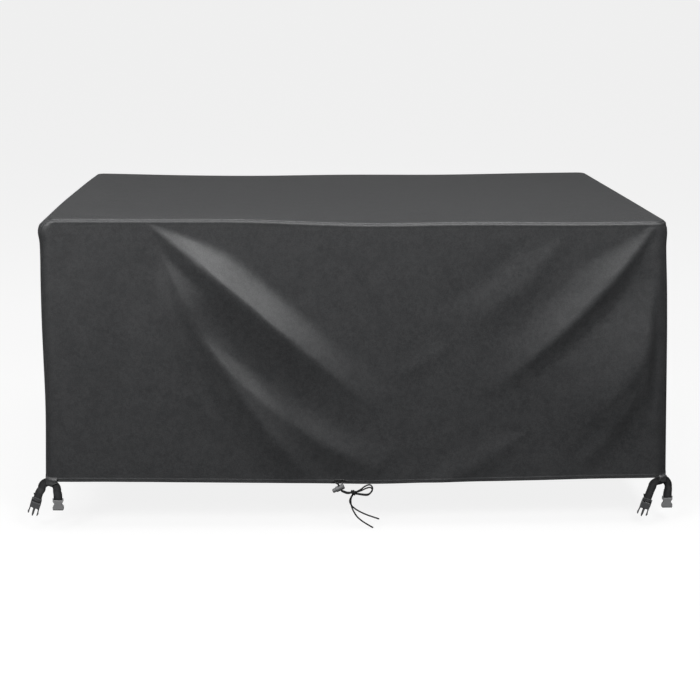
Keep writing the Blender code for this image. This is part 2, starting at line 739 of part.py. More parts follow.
def add_tab(shop, corner):
    """Add the sewn tab, which lies on the hem's corner and over the strap's middle."""
    base = hem_radius() + PIECE_GAP
    over = WEBBING / 2 + PIECE_GAP
    points = []
    for share in np.linspace(0.0, 1.0, 7):
        across = float(np.interp(share, (0.0, 1.0), corner.tab)) * MM
        sewn = STRAP_MIDDLE + across / base
        side, face, angle = arch_place(across)
        clear = over + 1.4 * MM * smoothstep(abs(across) / (16.0 * MM))
        side, face = side + clear * math.sin(angle), face + clear * math.cos(angle)
        droop = STRAP_DROOP["outer"] * max(across, 0.0) / (corner.spans[1] * MM)
        foot = -4.0 * MM - 9.0 * MM * smoothstep(share / 0.5) - 0.5 * droop
        rows = [(base * math.sin(sewn), base * math.cos(sewn), height) for height in (13.0 * MM, 10.8 * MM)]
        rows += [(side, face, height) for height in (8.9 * MM, -2.0 * MM, foot)]
        points.append([corner_point(corner, *row) for row in rows])
    points = np.array(points)
    if corner.side * corner.face > 0:
        points = points[::-1]
    shop.add_sheet(f"corner_tab_{corner.name}", points, TAB_CLOTH, shop.cloth)


def add_female_buckle(shop, corner, bar):
    """Add a female buckle half: a bar, a slot and an hourglass body with an open socket."""
    holder = bpy.data.objects.new(f"female_place_{corner.name}", None)
    shop.parts.objects.link(holder)
    holder.parent = shop.root
    holder.matrix_world = bar.matrix()
    body = [(12.6, -4.8), (15.2, -5.8), (15.6, -8.0), (14.0, -10.8), (11.6, -13.5), (11.2, -16.5)]
    body += [(12.2, -19.0), (14.6, -22.0), (15.9, -25.0), (16.0, -31.5), (15.2, -35.0)]
    body = [(x * MM, z * MM) for x, z in body]
    name = f"buckle_female_{corner.name}"
    mesh = outline_mesh(name, [both_sides(body)], FEMALE_BODY)
    item = shop.add(name, mesh, shop.plastic, holder)
    soften(item, 2.0 * MM)
    frame = [(14.6 * MM, BAR_HALF), (15.8 * MM, 0.5 * MM), (15.8 * MM, -7.5 * MM)]
    plate = outline_mesh("bar_plate", [both_sides(frame), slot(-4.4 * MM, -BAR_HALF)], PLATE)
    shop.add_cutter(f"{name}_plate", plate, item, "UNION")
    centre = Vector((0.0, 0.0, -FEMALE_LENGTH + FEMALE_SOCKET.z / 2 - 1.0 * MM))
    hollow = box_mesh("socket", FEMALE_SOCKET + Vector((0.0, 0.0, 2.0 * MM)), centre)
    shop.add_cutter(f"{name}_socket", hollow, item, "DIFFERENCE")
    return item


def add_male_buckle(shop, corner, bar):
    """Add a male buckle half: a barred plate, a grip, two sprung prongs and a middle one."""
    holder = bpy.data.objects.new(f"male_place_{corner.name}", None)
    shop.parts.objects.link(holder)
    holder.parent = shop.root
    holder.matrix_world = bar.matrix()
    rim = [(13.8, 8.5), (15.2, 7.0), (15.6, -6.0), (14.8, -23.0), (15.2, -32.0), (16.9, -38.5)]
    rim += [(14.6, -45.0), (12.4, -43.5), (12.6, -36.0), (12.0, -26.0), (10.0, -24.0)]
    rim += [(3.2, -24.4), (2.7, -42.0), (1.2, -49.0)]
    rim = [(x * MM, z * MM) for x, z in rim]
    name = f"buckle_male_{corner.name}"
    slots = [slot(BAR_HALF, 5.0 * MM), slot(-4.6 * MM, -BAR_HALF)]
    mesh = outline_mesh(name, [both_sides(rim), *slots], PLATE)
    item = shop.add(name, mesh, shop.prongs, holder)
    grip = [(14.0, -6.0), (15.4, -7.2), (14.8, -21.4), (13.2, -23.0)]
    grip = [(x * MM, z * MM) for x, z in grip]
    block = outline_mesh("grip", [both_sides(grip)], MALE_GRIP)
    holder_grip = shop.add_cutter(f"{name}_grip", block, item, "UNION")
    soften(holder_grip, 1.2 * MM)
    return item


# Drawcord, bow and cord lock


def front_hem(x):
    """Return the hem's outer face at a place along the front."""
    front = PANELS[0]
    straight = front.half - CLOTH - CORNER_RADIUS + (1.0 - CORNER_SPREAD) * HEM_FLARE
    column = np.array([[x / straight]])
    drop = np.array([[DROP]])
    return Vector(wall(front, column, drop, np.zeros((1, 1)), CLOTH)[0, 0])


# Routes in mm from the hem's lower edge near the cord lock: right, down and forward of the hem.
LEAD_IN = {
    "a": ((-18.0, -9.5, 2.8), (-12.0, -6.5, 4.9), (-6.5, -3.8, 7.2)),
    "b": ((3.6, -9.5, 3.4), (0.6, -7.0, 9.8), (-2.4, -4.2, 13.6)),
}
LEAD_OUT = {
    "a": ((12.0, 19.6, 7.4), (18.0, 22.6, 5.2), (26.0, 25.8, 3.4), (34.0, 26.0, 3.2)),
    "b": ((12.0, 21.0, 12.2), (18.0, 24.6, 10.0), (26.0, 27.8, 8.2), (34.0, 27.0, 8.0)),
}
LOOP = {
    "a": (
        (54.0, 23.4, 3.2), (66.0, 17.0, 3.2), (77.0, 8.0, 3.4), (88.0, 2.8, 3.8), (96.0, 4.0, 3.8),
        (100.6, 12.0, 3.4), (99.0, 21.0, 3.2), (92.0, 30.0, 3.2), (80.0, 32.6, 3.2), (54.0, 29.6, 3.2),
    ),
    "b": (
        (54.0, 23.4, 8.0), (67.0, 19.0, 8.2), (80.0, 12.4, 8.4), (91.0, 9.0, 8.6), (98.0, 12.0, 8.4),
        (99.6, 19.0, 8.2), (95.0, 26.0, 8.0), (87.0, 33.0, 8.0), (76.0, 33.2, 8.0), (54.0, 29.8, 8.0),
    ),
}
TAIL = {
    "a": (
        (40.6, 35.4, 3.2), (36.0, 44.0, 3.2), (33.6, 54.0, 3.2), (38.0, 66.0, 3.2), (50.0, 78.0, 3.6),
        (66.0, 88.0, 4.0), (84.0, 96.6, 4.2), (103.0, 104.0, 4.2), (122.0, 111.0, 4.2),
    ),
    "b": (
        (40.6, 35.4, 8.0), (37.2, 44.0, 8.0), (36.6, 54.0, 8.0), (39.0, 69.0, 8.0), (45.4, 85.0, 7.6),
        (56.0, 102.0, 7.2), (70.0, 115.0, 7.2), (86.0, 126.0, 7.6), (104.0, 137.0, 8.2),
    ),
}
KNOT = (44.0, 26.4, 5.6)
KNOT_PROFILE = (
    (0.0, 9.6), (3.7, 9.4), (6.2, 8.0), (8.0, 5.6), (7.2, 3.4), (8.9, 1.3),
    (8.7, -1.1), (7.2, -3.3), (8.0, -5.5), (6.2, -8.0), (3.7, -9.4), (0.0, -9.6),
)
LOCK_CENTRE = (4.0, 9.0, 10.4)


def cord_place(right, down, forward):
    """Return a world point of the drawcord from its place beside the hem, in mm."""
    hem = front_hem(CORD_X + right * MM)
    return Vector((hem.x, hem.y - forward * MM, front_hem(CORD_X).z - down * MM))


def lock_frame():
    """Return the cord lock's placement: Z along its barrel, X along the cords through it."""
    across = Vector((-math.sin(LOCK_SLOPE), 0.0, math.cos(LOCK_SLOPE)))
    barrel = Vector((math.cos(LOCK_SLOPE), 0.0, math.sin(LOCK_SLOPE)))
    rotation = Matrix((-across, barrel.cross(-across), barrel)).transposed()
    return Matrix.Translation(cord_place(*LOCK_CENTRE)) @ rotation.to_4x4()


def lead_points(strand):
    """Return one strand's route from the hem, through the cord lock, to the knot."""
    side = STRAND_SIDE if strand == "a" else -STRAND_SIDE
    frame = lock_frame()
    through = [frame @ Vector((reach * MM, side, 0.0)) for reach in (-11.0, -5.5, 0.0, 5.5, 11.0)]
    points = [cord_place(*row) for row in LEAD_IN[strand]]
    points += through
    points += [cord_place(*row) for row in LEAD_OUT[strand]]
    return smooth_path(points, CORD_STEP)


def add_cords(shop):
    """Add the two strands of the drawcord, in the stretches before and after the knot."""
    for strand in ("a", "b"):
        shop.add_tube(f"drawcord_lead_{strand}", lead_points(strand))
        for name, route in (("bow_loop", LOOP), ("drawcord_tail", TAIL)):
            points = [cord_place(*row) for row in route[strand]]
            shop.add_tube(f"{name}_{strand}", smooth_path(points, CORD_STEP))
    knot = turned(shop, "bow_knot", KNOT_PROFILE, shop.cord, 12)
    knot.location = cord_place(*KNOT)
    knot.rotation_euler = (0.0, math.pi / 2, 0.0)


def turned(shop, name, profile, material, steps):
    """Add a solid turned round its Z axis from a profile in mm, given from top to bottom."""
    mesh = bpy.data.meshes.new(name)
    points = [(radius * MM, 0.0, height * MM) for radius, height in profile]
    mesh.from_pydata(points, [(index, index + 1) for index in range(len(points) - 1)], [])
    item = shop.add(name, mesh, material)
    screw = item.modifiers.new("turn", "SCREW")
    screw.steps = steps
    screw.render_steps = steps
    screw.use_merge_vertices = True
    screw.merge_threshold = 1e-5
    return item


def add_cord_lock(shop):
    """Add the cord lock: a barrel with a cross slot, and the sprung button inside it."""
    frame = lock_frame()
    slot_length = CORD + 2 * LOCK_PLAY
    slot_width = 2 * STRAND_SIDE + CORD + 2 * LOCK_PLAY
    barrel = turned(shop, "cord_lock_barrel", BARREL_PROFILE, shop.lock, 20)
    barrel.matrix_world = frame
    cut = box_mesh("barrel_slot", Vector((30.0 * MM, slot_width, slot_length)), Vector())
    shop.add_cutter("barrel_slot", cut, barrel, "DIFFERENCE").matrix_world = frame
    button = turned(shop, "cord_lock_button", BUTTON_PROFILE, shop.lock, 20)
    button.matrix_world = frame
    centre = Vector((0.0, 0.0, -0.5 * BUTTON_TRAVEL))
    size = Vector((30.0 * MM, slot_width, slot_length + BUTTON_TRAVEL))
    cut = box_mesh("button_slot", size, centre)
    shop.add_cutter("button_slot", cut, button, "DIFFERENCE").matrix_world = frame


def main():
    """Build the whole cover."""
    clear_scene()
    shop = Workshop()
    shop.add_sheet("top_panel", top_points(16, 8), CLOTH, shop.cloth)
    for panel in PANELS:
        shop.add_sheet(f"{panel.side}_panel", panel_points(panel)[::-1], CLOTH, shop.cloth)
    for corner in CORNERS:
        male_bar, female_bar = add_strap(shop, corner)
        add_tab(shop, corner)
        add_female_buckle(shop, corner, female_bar)
        add_male_buckle(shop, corner, male_bar)
    add_cord_lock(shop)
    add_cords(shop)


main()
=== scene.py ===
"""Looks of a fitted rectangular patio furniture cover, hanging empty in soft folds.

Frame: metres, +Z up, +X to the right and -Y to the front. The origin is the middle of the
underside of the top panel. Five cloth panels are closed shells worked out from one formula
of the drape, with sewn seams and a turned hem. Webbing straps with side release buckles hang
at the corners, and a drawcord leaves the front hem, runs through a cord lock and is tied in
a bow.
"""

from __future__ import annotations

import logging
import math
from dataclasses import dataclass, field
from enum import Enum
from typing import Sequence

import bpy
import numpy as np
from mathutils import Matrix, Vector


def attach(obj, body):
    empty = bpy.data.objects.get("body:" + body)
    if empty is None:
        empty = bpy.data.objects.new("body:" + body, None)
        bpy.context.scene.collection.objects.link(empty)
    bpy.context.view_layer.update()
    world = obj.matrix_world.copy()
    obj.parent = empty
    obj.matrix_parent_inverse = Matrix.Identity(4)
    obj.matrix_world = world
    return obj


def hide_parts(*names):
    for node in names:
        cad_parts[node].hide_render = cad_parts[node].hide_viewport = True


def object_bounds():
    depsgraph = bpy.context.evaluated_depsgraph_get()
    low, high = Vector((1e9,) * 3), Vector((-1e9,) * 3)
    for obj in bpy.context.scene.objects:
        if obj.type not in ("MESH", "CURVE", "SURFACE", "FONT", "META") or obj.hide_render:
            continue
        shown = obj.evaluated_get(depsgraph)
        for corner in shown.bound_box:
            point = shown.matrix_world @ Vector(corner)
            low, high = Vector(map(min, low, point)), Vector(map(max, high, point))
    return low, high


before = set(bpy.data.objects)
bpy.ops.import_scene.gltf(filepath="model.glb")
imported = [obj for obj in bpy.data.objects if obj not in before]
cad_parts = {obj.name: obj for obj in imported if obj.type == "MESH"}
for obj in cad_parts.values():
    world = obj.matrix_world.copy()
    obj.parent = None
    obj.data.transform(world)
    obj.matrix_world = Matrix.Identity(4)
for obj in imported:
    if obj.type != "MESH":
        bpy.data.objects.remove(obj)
CAD_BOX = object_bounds()

log = logging.getLogger("cover")
MM = 0.001
TURN = 2.0 * math.pi
BODY = "cover"
Colour = tuple[float, float, float]


# Choices


class Half(Enum):
    """The half of a side release buckle that a strap's end carries."""

    MALE = "male"
    FEMALE = "female"


class Leg(Enum):
    """The leg of a corner strap that hangs nearer the middle of the front, or outside it."""

    INNER = "inner"
    OUTER = "outer"


class Strand(Enum):
    """The two strands of the drawcord."""

    A = "a"
    B = "b"


# Shader maths


@dataclass(frozen=True)
class Sock:
    """A shader socket that takes part in sums, so that 1 - mask adds its own Math node."""

    recipe: "Recipe"
    socket: bpy.types.NodeSocket

    def _with(self, operation: str, first: "Sock | float", second: "Sock | float") -> "Sock":
        """Return first and second joined by one Math node."""
        return self.recipe.node("ShaderNodeMath", {"operation": operation}, {0: first, 1: second})

    def __add__(self, other: "Sock | float") -> "Sock":
        """Return self + other."""
        return self._with("ADD", self, other)

    __radd__ = __add__

    def __sub__(self, other: "Sock | float") -> "Sock":
        """Return self - other."""
        return self._with("SUBTRACT", self, other)

    def __rsub__(self, other: "Sock | float") -> "Sock":
        """Return other - self."""
        return self._with("SUBTRACT", other, self)

    def __mul__(self, other: "Sock | float") -> "Sock":
        """Return self * other."""
        return self._with("MULTIPLY", self, other)

    __rmul__ = __mul__

    def wave(self) -> "Sock":
        """Return the sine of self."""
        return self._with("SINE", self, 0.0)

    def ramp(self, low: float, high: float) -> "Sock":
        """Return an even S curve that rises from 0 at low to 1 at high."""
        settings = {"interpolation_type": "SMOOTHSTEP"}
        return self.recipe.node("ShaderNodeMapRange", settings, {0: self, 1: low, 2: high})


@dataclass
class Recipe:
    """A node material in the making."""

    name: str
    tree: bpy.types.NodeTree = field(init=False)
    material: bpy.types.Material = field(init=False)
    shader: bpy.types.Node = field(init=False)

    def __post_init__(self) -> None:
        """Start a material with its Principled shader."""
        self.material = bpy.data.materials.new(self.name)
        self.material.use_nodes = True
        self.tree = self.material.node_tree
        self.shader = self.tree.nodes["Principled BSDF"]

    def node(self, kind: str, settings: dict, inputs: dict, output: int | str = 0) -> Sock:
        """Add a node.

        Args:
            kind: the node's type.
            settings: its own settings, set before its sockets.
            inputs: a value or a Sock for each socket named or numbered.
            output: the output that is returned.

        Returns:
            The wrapped output socket.
        """
        made = self.tree.nodes.new(kind)
        for key, value in settings.items():
            setattr(made, key, value)
        for key, value in inputs.items():
            self.feed(made.inputs[key], value)
        return Sock(self, made.outputs[output])

    def feed(self, socket: bpy.types.NodeSocket, value: object) -> None:
        """Link a Sock to a socket, or set its value."""
        if isinstance(value, Sock):
            self.tree.links.new(value.socket, socket)
        else:
            socket.default_value = value

    def set(self, **inputs: object) -> None:
        """Set or link the shader's sockets, named with _ for a space."""
        for key, value in inputs.items():
            self.feed(self.shader.inputs[key.replace("_", " ")], value)

    def axes(self, vector: Sock) -> tuple[Sock, Sock, Sock]:
        """Return the three parts of a vector."""
        split = self.node("ShaderNodeSeparateXYZ", {}, {0: vector})
        outputs = split.socket.node.outputs
        return split, Sock(self, outputs[1]), Sock(self, outputs[2])

    def uv(self) -> tuple[Sock, Sock]:
        """Return the piece's own UV map, in metres."""
        u, v, _ = self.axes(self.node("ShaderNodeUVMap", {"uv_map": "metres"}, {}))
        return u, v

    def place(self) -> Sock:
        """Return the object coordinates."""
        return self.node("ShaderNodeTexCoord", {}, {}, "Object")

    def vector(self, x: Sock | float, y: Sock | float, z: Sock | float = 0.0) -> Sock:
        """Return a vector from its parts."""
        return self.node("ShaderNodeCombineXYZ", {}, {0: x, 1: y, 2: z})

    def noise(self, vector: Sock, scale: float, detail: float = 2.0, rough: float = 0.5) -> Sock:
        """Return noise from 0 to 1 at a scale per metre."""
        inputs = {"Vector": vector, "Scale": scale, "Detail": detail, "Roughness": rough}
        return self.node("ShaderNodeTexNoise", {}, inputs)

    def blend(self, factor: Sock, first: Sock | Colour, second: Sock | Colour) -> Sock:
        """Return a colour between two others, each a Sock or three numbers."""
        one, other = (item if isinstance(item, Sock) else (*item, 1.0) for item in (first, second))
        inputs = {0: factor, 6: one, 7: other}
        return self.node("ShaderNodeMix", {"data_type": "RGBA"}, inputs, 2)

    def relief(self, height: Sock) -> None:
        """Feed a height in metres to the shader's normal through a Bump node."""
        inputs = {"Strength": 1.0, "Distance": 1.0, "Height": height}
        self.set(Normal=self.node("ShaderNodeBump", {}, inputs))


# Finishes


@dataclass(frozen=True)
class CoatedCloth:
    """Dark plain woven cloth with a thin coat: fine threads, mottling and soft crumples.

    thread is the weave's pitch, weave, slub and crumple are heights of the relief, and each
    scale is how fine a noise is, per metre.
    """

    name: str = "coated_cloth"
    dark: Colour = (0.031, 0.032, 0.034)
    light: Colour = (0.060, 0.061, 0.063)
    thread: float = 0.95 * MM
    weave: float = 0.03 * MM
    slub: float = 0.10 * MM
    crumple: float = 1.0 * MM
    stretch: float = 5.0
    slub_scale: float = 260.0
    crumple_scale: float = 16.0
    mottle_scale: float = 22.0
    patch_scale: float = 75.0
    speck_scale: float = 300.0

    def make(self) -> bpy.types.Material:
        """Return the material."""
        recipe = Recipe(self.name)
        u, v = recipe.uv()
        turn = TURN / self.thread
        weave = (u * turn).wave() * (v * turn).wave()
        slub = recipe.noise(recipe.vector(u, v * self.stretch), self.slub_scale, 3.0)
        slub_across = recipe.noise(recipe.vector(u * self.stretch, v), self.slub_scale, 3.0)
        slubs = slub + slub_across
        mottle = recipe.noise(recipe.place(), self.mottle_scale, 4.0, 0.55).ramp(0.3, 0.7)
        crumple = recipe.noise(recipe.place(), self.crumple_scale, 3.0, 0.45)
        patchy = recipe.noise(recipe.place(), self.patch_scale, 3.0, 0.6).ramp(0.3, 0.7)
        speckle = recipe.noise(recipe.place(), self.speck_scale, 3.0, 0.7).ramp(0.25, 0.75)
        tone = mottle * 0.25 + patchy * 0.40 + slubs * 0.25 + speckle * 0.90 - 0.50
        recipe.set(Base_Color=recipe.blend(tone, self.dark, self.light))
        recipe.set(Roughness=0.40 + slub * 0.08 - weave * 0.04)
        recipe.relief(weave * self.weave + slubs * self.slub + crumple * self.crumple)
        recipe.set(Specular_IOR_Level=0.75, Sheen_Weight=0.12, Sheen_Roughness=0.45)
        return recipe.material


@dataclass(frozen=True)
class Webbing:
    """Black ribbed webbing, paler along the middle of each face.

    rib is the pitch of its cross ribs, end that of its lengthwise threads, and face_run half
    the way round the strap.
    """

    name: str = "webbing"
    dark: Colour = (0.012, 0.012, 0.013)
    light: Colour = (0.050, 0.050, 0.052)
    rib: float = 1.9 * MM
    end: float = 2.2 * MM
    face_run: float = 27.3 * MM
    fray_scale: float = 900.0

    def make(self) -> bpy.types.Material:
        """Return the material."""
        recipe = Recipe(self.name)
        u, v = recipe.uv()
        ends = (u * (TURN / self.end)).wave()
        ribs = (v * (TURN / self.rib) + ends * 0.9).wave()
        middle = (u * (TURN / self.face_run) - 0.25 * TURN).wave()
        fray = recipe.noise(recipe.vector(u, v), self.fray_scale)
        tone = (ribs * 0.22 + ends * 0.14 + middle * 0.34 + fray * 0.6 + 0.12).ramp(0.0, 1.0)
        recipe.set(Base_Color=recipe.blend(tone, self.dark, self.light))
        recipe.set(Roughness=0.72 + fray * 0.15)
        recipe.relief(ribs * (0.10 * MM) + ends * (0.07 * MM) + fray * (0.10 * MM))
        return recipe.material


@dataclass(frozen=True)
class MouldedPlastic:
    """Satin moulded plastic with a fine spark-eroded grain and paler, rubbed edges.

    edge is how far the rubbing reaches from an edge. mouth is the height of a socket's open
    end; a band lip high above it is painted near black as the shade inside the opening.
    """

    name: str
    body: Colour
    rubbed: Colour
    roughness: float = 0.34
    mouth: float | None = None
    lip: float = 2.6 * MM
    mouth_shade_colour: Colour = (0.012, 0.012, 0.013)
    edge: float = 0.7 * MM
    grain_scale: float = 2600.0
    rub_scale: float = 240.0

    def make(self) -> bpy.types.Material:
        """Return the material."""
        recipe = Recipe(self.name)
        place = recipe.place()
        grain = recipe.noise(place, self.grain_scale)
        rub = recipe.noise(place, self.rub_scale, 3.0, 0.6)
        edges = recipe.node("ShaderNodeBevel", {"samples": 4}, {"Radius": self.edge})
        flat = recipe.node("ShaderNodeNewGeometry", {}, {}, "Normal")
        turned = recipe.node(
            "ShaderNodeVectorMath", {"operation": "DOT_PRODUCT"}, {0: edges, 1: flat}, "Value"
        )
        worn = (1.0 - turned).ramp(0.02, 0.25) * rub.ramp(0.35, 0.65)
        colour = recipe.blend(worn * 0.6 + grain * 0.2, self.body, self.rubbed)
        # Painted shade: near the socket's open mouth the colour turns near black, as the opening's
        # shadow.
        if self.mouth is not None:
            height = recipe.axes(place)[2]
            near = height.ramp(self.mouth + self.lip, self.mouth + 0.5 * self.lip)
            colour = recipe.blend(near, colour, self.mouth_shade_colour)
        recipe.set(Base_Color=colour)
        recipe.set(Roughness=self.roughness + grain * 0.10 + rub * 0.06)
        recipe.relief(grain * (0.03 * MM))
        return recipe.material


@dataclass(frozen=True)
class BraidedCord:
    """Black braided cord: two sets of strands that cross as they go round it."""

    name: str = "drawcord"
    dark: Colour = (0.004, 0.004, 0.004)
    light: Colour = (0.022, 0.022, 0.023)
    braid: float = 2.6 * MM
    fuzz_scale: float = 1500.0

    def make(self) -> bpy.types.Material:
        """Return the material."""
        recipe = Recipe(self.name)
        u, v = recipe.uv()
        turn = TURN / self.braid
        strands = ((u + v) * turn).wave() * ((u - v) * turn).wave()
        fuzz = recipe.noise(recipe.place(), self.fuzz_scale)
        tone = (strands * 0.35 + fuzz * 0.6 + 0.1).ramp(0.0, 1.0)
        recipe.set(Base_Color=recipe.blend(tone, self.dark, self.light))
        recipe.set(Roughness=0.62 + fuzz * 0.2)
        recipe.relief(strands * (0.16 * MM) + fuzz * (0.05 * MM))
        return recipe.material


@dataclass(frozen=True)
class SewingThread:
    """Twisted polyester sewing thread."""

    name: str = "sewing_thread"
    dark: Colour = (0.030, 0.030, 0.031)
    light: Colour = (0.085, 0.086, 0.088)
    twist: float = 0.7 * MM

    def make(self) -> bpy.types.Material:
        """Return the material."""
        recipe = Recipe(self.name)
        u, v = recipe.uv()
        twist = ((u * 0.6 + v) * (TURN / self.twist)).wave()
        recipe.set(Base_Color=recipe.blend(twist * 0.5 + 0.5, self.dark, self.light))
        recipe.set(Roughness=0.55 + twist * 0.08)
        recipe.relief(twist * (0.05 * MM))
        return recipe.material


# Curves and grids


def smoothstep(value: np.ndarray) -> np.ndarray:
    """Return 0 below 0, 1 above 1 and an even S curve between."""
    value = np.clip(value, 0.0, 1.0)
    return value * value * (3.0 - 2.0 * value)


def through(places: np.ndarray, knots: Sequence[float], values: np.ndarray) -> np.ndarray:
    """Return a smooth curve through values given at knots.

    Each stretch is a cubic that meets its neighbours with the mean slope of the two
    stretches at a knot, and past the ends the value stays level.

    Args:
        places: where the curve is wanted.
        knots: rising places of the given values.
        values: one row for each knot.

    Returns:
        One row for each place.
    """
    knots = np.asarray(knots, dtype=float)
    values = np.asarray(values, dtype=float)
    flat = values.ndim == 1
    rows = values[:, None] if flat else values
    gaps = np.diff(knots)[:, None]
    secants = np.diff(rows, axis=0) / gaps
    slopes = np.vstack((secants[:1], (secants[:-1] * gaps[1:] + secants[1:] * gaps[:-1])
                        / (gaps[1:] + gaps[:-1]), secants[-1:]))
    inside = np.clip(places, knots[0], knots[-1])
    index = np.clip(np.searchsorted(knots, inside, side="right") - 1, 0, len(knots) - 2)
    gap = gaps[index]
    t = (inside[..., None] - knots[index][..., None]) / gap
    found = (
        rows[index] * (1 + 2 * t) * (1 - t) ** 2
        + slopes[index] * gap * t * (1 - t) ** 2
        + rows[index + 1] * t * t * (3 - 2 * t)
        + slopes[index + 1] * gap * t * t * (t - 1)
    )
    return found[..., 0] if flat else found


def travelled(points: np.ndarray) -> np.ndarray:
    """Return the distance along a row of points at each of them."""
    steps = np.linalg.norm(np.diff(points[:, :3], axis=0), axis=1)
    return np.concatenate(([0.0], np.cumsum(steps)))


def respaced(points: np.ndarray, step: float) -> np.ndarray:
    """Return points about a step apart along a smooth curve through the given ones."""
    reach = travelled(points)
    count = max(2, int(round(reach[-1] / step)) + 1)
    return through(np.linspace(0.0, reach[-1], count), reach, points)


def smooth_path(points: Sequence[Sequence[float]], step: float) -> np.ndarray:
    """Return points a step apart on the smooth curve through the given points.

    Each stretch is the cubic whose slope at a point runs parallel to the line between the
    point's two neighbours.

    Args:
        points: the points to pass through, with any number of columns.
        step: the distance wanted between the new points.

    Returns:
        The new points, evenly spaced.
    """
    samples = 24
    knots = np.asarray(points, dtype=float)
    padded = np.vstack((2.0 * knots[0] - knots[1], knots, 2.0 * knots[-1] - knots[-2]))
    before, here, there, after = (padded[i:len(padded) - 3 + i, None, :] for i in range(4))
    share = np.linspace(0.0, 1.0, samples, endpoint=False)[None, :, None]
    slope = (there - before) * share
    bend = (2.0 * before - 5.0 * here + 4.0 * there - after) * share ** 2
    twist = (3.0 * here - before - 3.0 * there + after) * share ** 3
    dense = (here + 0.5 * (slope + bend + twist)).reshape(-1, knots.shape[1])
    dense = np.vstack((dense, knots[-1]))
    reach = travelled(dense)
    wanted = np.linspace(0.0, reach[-1], max(2, int(round(reach[-1] / step)) + 1))
    return np.column_stack([np.interp(wanted, reach, column) for column in dense.T])


def unit(vectors: np.ndarray) -> np.ndarray:
    """Return the vectors at length 1."""
    return vectors / np.maximum(np.linalg.norm(vectors, axis=-1, keepdims=True), 1e-12)


def turning_frame(line: np.ndarray) -> tuple[np.ndarray, np.ndarray]:
    """Return two directions across a path that turn with it as little as they can.

    Args:
        line: the path's points.

    Returns:
        The first and the second direction, a row for each point.
    """
    along = unit(np.gradient(line, axis=0))
    sides = [unit(np.cross(along[0], (0.0, 1.0, 0.0)))]
    for direction in along[1:]:
        sides.append(unit(sides[-1] - direction * np.dot(sides[-1], direction)))
    sides = np.array(sides)
    return sides, np.cross(along, sides)


@dataclass
class Patch:
    """Vertices, faces and the UV of each face corner, in metres."""

    points: np.ndarray
    faces: list
    uvs: np.ndarray

    @staticmethod
    def joined(patches: Sequence["Patch"]) -> "Patch":
        """Return several patches of four-cornered faces as one."""
        faces, start = [], 0
        for patch in patches:
            faces += (np.array(patch.faces) + start).tolist()
            start += len(patch.points)
        points = np.concatenate([patch.points for patch in patches])
        return Patch(points, faces, np.concatenate([patch.uvs for patch in patches]))


def quads_of(rows: int, columns: int) -> np.ndarray:
    """Return the faces of a grid, down and then along, as numbers of its points."""
    index = np.arange(rows * columns).reshape(rows, columns)
    return np.stack((index[:-1, :-1], index[1:, :-1], index[1:, 1:], index[:-1, 1:]), axis=-1)


def shell(outer: np.ndarray, inner: np.ndarray, uv: np.ndarray, flip: bool = False) -> Patch:
    """Return a closed sheet between two grids of the same size.

    Args:
        outer: the face that shows, as a grid of points.
        inner: the face behind it.
        uv: the grid's place on the flat cloth, in metres.
        flip: True where the grid's rows run the other way round.

    Returns:
        The two faces and the rim that joins them.
    """
    rows, columns = outer.shape[:2]
    count = rows * columns
    front = quads_of(rows, columns).reshape(-1, 4)
    index = np.arange(count).reshape(rows, columns)
    loop = np.concatenate((index[:-1, 0], index[-1, :-1], index[:0:-1, -1], index[0, :0:-1]))
    after = np.roll(loop, -1)
    rim = np.stack((after, loop, loop + count, after + count), axis=-1)
    faces = np.concatenate((front, front[:, ::-1] + count, rim))
    if flip:
        faces = faces[:, ::-1]
    points = np.concatenate((outer.reshape(-1, 3), inner.reshape(-1, 3)))
    flat = np.concatenate((uv.reshape(-1, 2), uv.reshape(-1, 2)))
    return Patch(points, faces.tolist(), flat[faces].reshape(-1, 2))


def swept(line: np.ndarray, side: np.ndarray, face: np.ndarray, profile: np.ndarray) -> Patch:
    """Return a closed profile carried along a path, with flat caps.

    Each point is the path's point, plus side and face times the profile's two numbers.

    Args:
        line: the path's points.
        side: a direction across the path at each point.
        face: the other direction across it.
        profile: a closed outline, or one outline for each point of the path.

    Returns:
        The closed surface, its UV running round the outline and along the path.
    """
    rows = len(line)
    outlines = np.broadcast_to(profile, (rows, *profile.shape[-2:]))
    count = outlines.shape[1]
    points = line[:, None] + side[:, None] * outlines[..., :1] + face[:, None] * outlines[..., 1:]
    round_it = np.concatenate((outlines[rows // 2], outlines[rows // 2, :1]))
    u = np.concatenate(([0.0], np.cumsum(np.linalg.norm(np.diff(round_it, axis=0), axis=1))))
    v = travelled(line)
    index = np.arange(rows * count).reshape(rows, count)
    nxt = np.roll(index, -1, axis=1)
    quads = np.stack((index[:-1], nxt[:-1], nxt[1:], index[1:]), axis=-1).reshape(-1, 4)
    grid = np.stack(np.meshgrid(u, v), axis=-1)
    uvs = np.stack((grid[:-1, :-1], grid[:-1, 1:], grid[1:, 1:], grid[1:, :-1]), axis=2)
    caps = [index[0, ::-1].tolist(), index[-1].tolist()]
    cap_uv = np.concatenate((outlines[0, ::-1], outlines[-1]))
    return Patch(points.reshape(-1, 3), quads.tolist() + caps,
                 np.concatenate((uvs.reshape(-1, 2), cap_uv)))


def rounded_bar(half: float, thick: float, edge: float) -> np.ndarray:
    """Return a flat strap's outline: two level faces and two rounded edges, anticlockwise.

    Args:
        half: half the strap's width.
        thick: half its thickness.
        edge: how far its rounding reaches in from an edge.

    Returns:
        The outline's points.
    """
    level = np.linspace(half - edge, -half + edge, 7)
    turn = np.radians((60.0, 30.0, 0.0, -30.0, -60.0))
    right = np.stack((half - edge + edge * np.cos(turn), thick * np.sin(turn)), axis=-1)[::-1]
    top = np.stack((level, np.full(7, thick)), axis=-1)
    return np.concatenate((right, top, -right, -top))


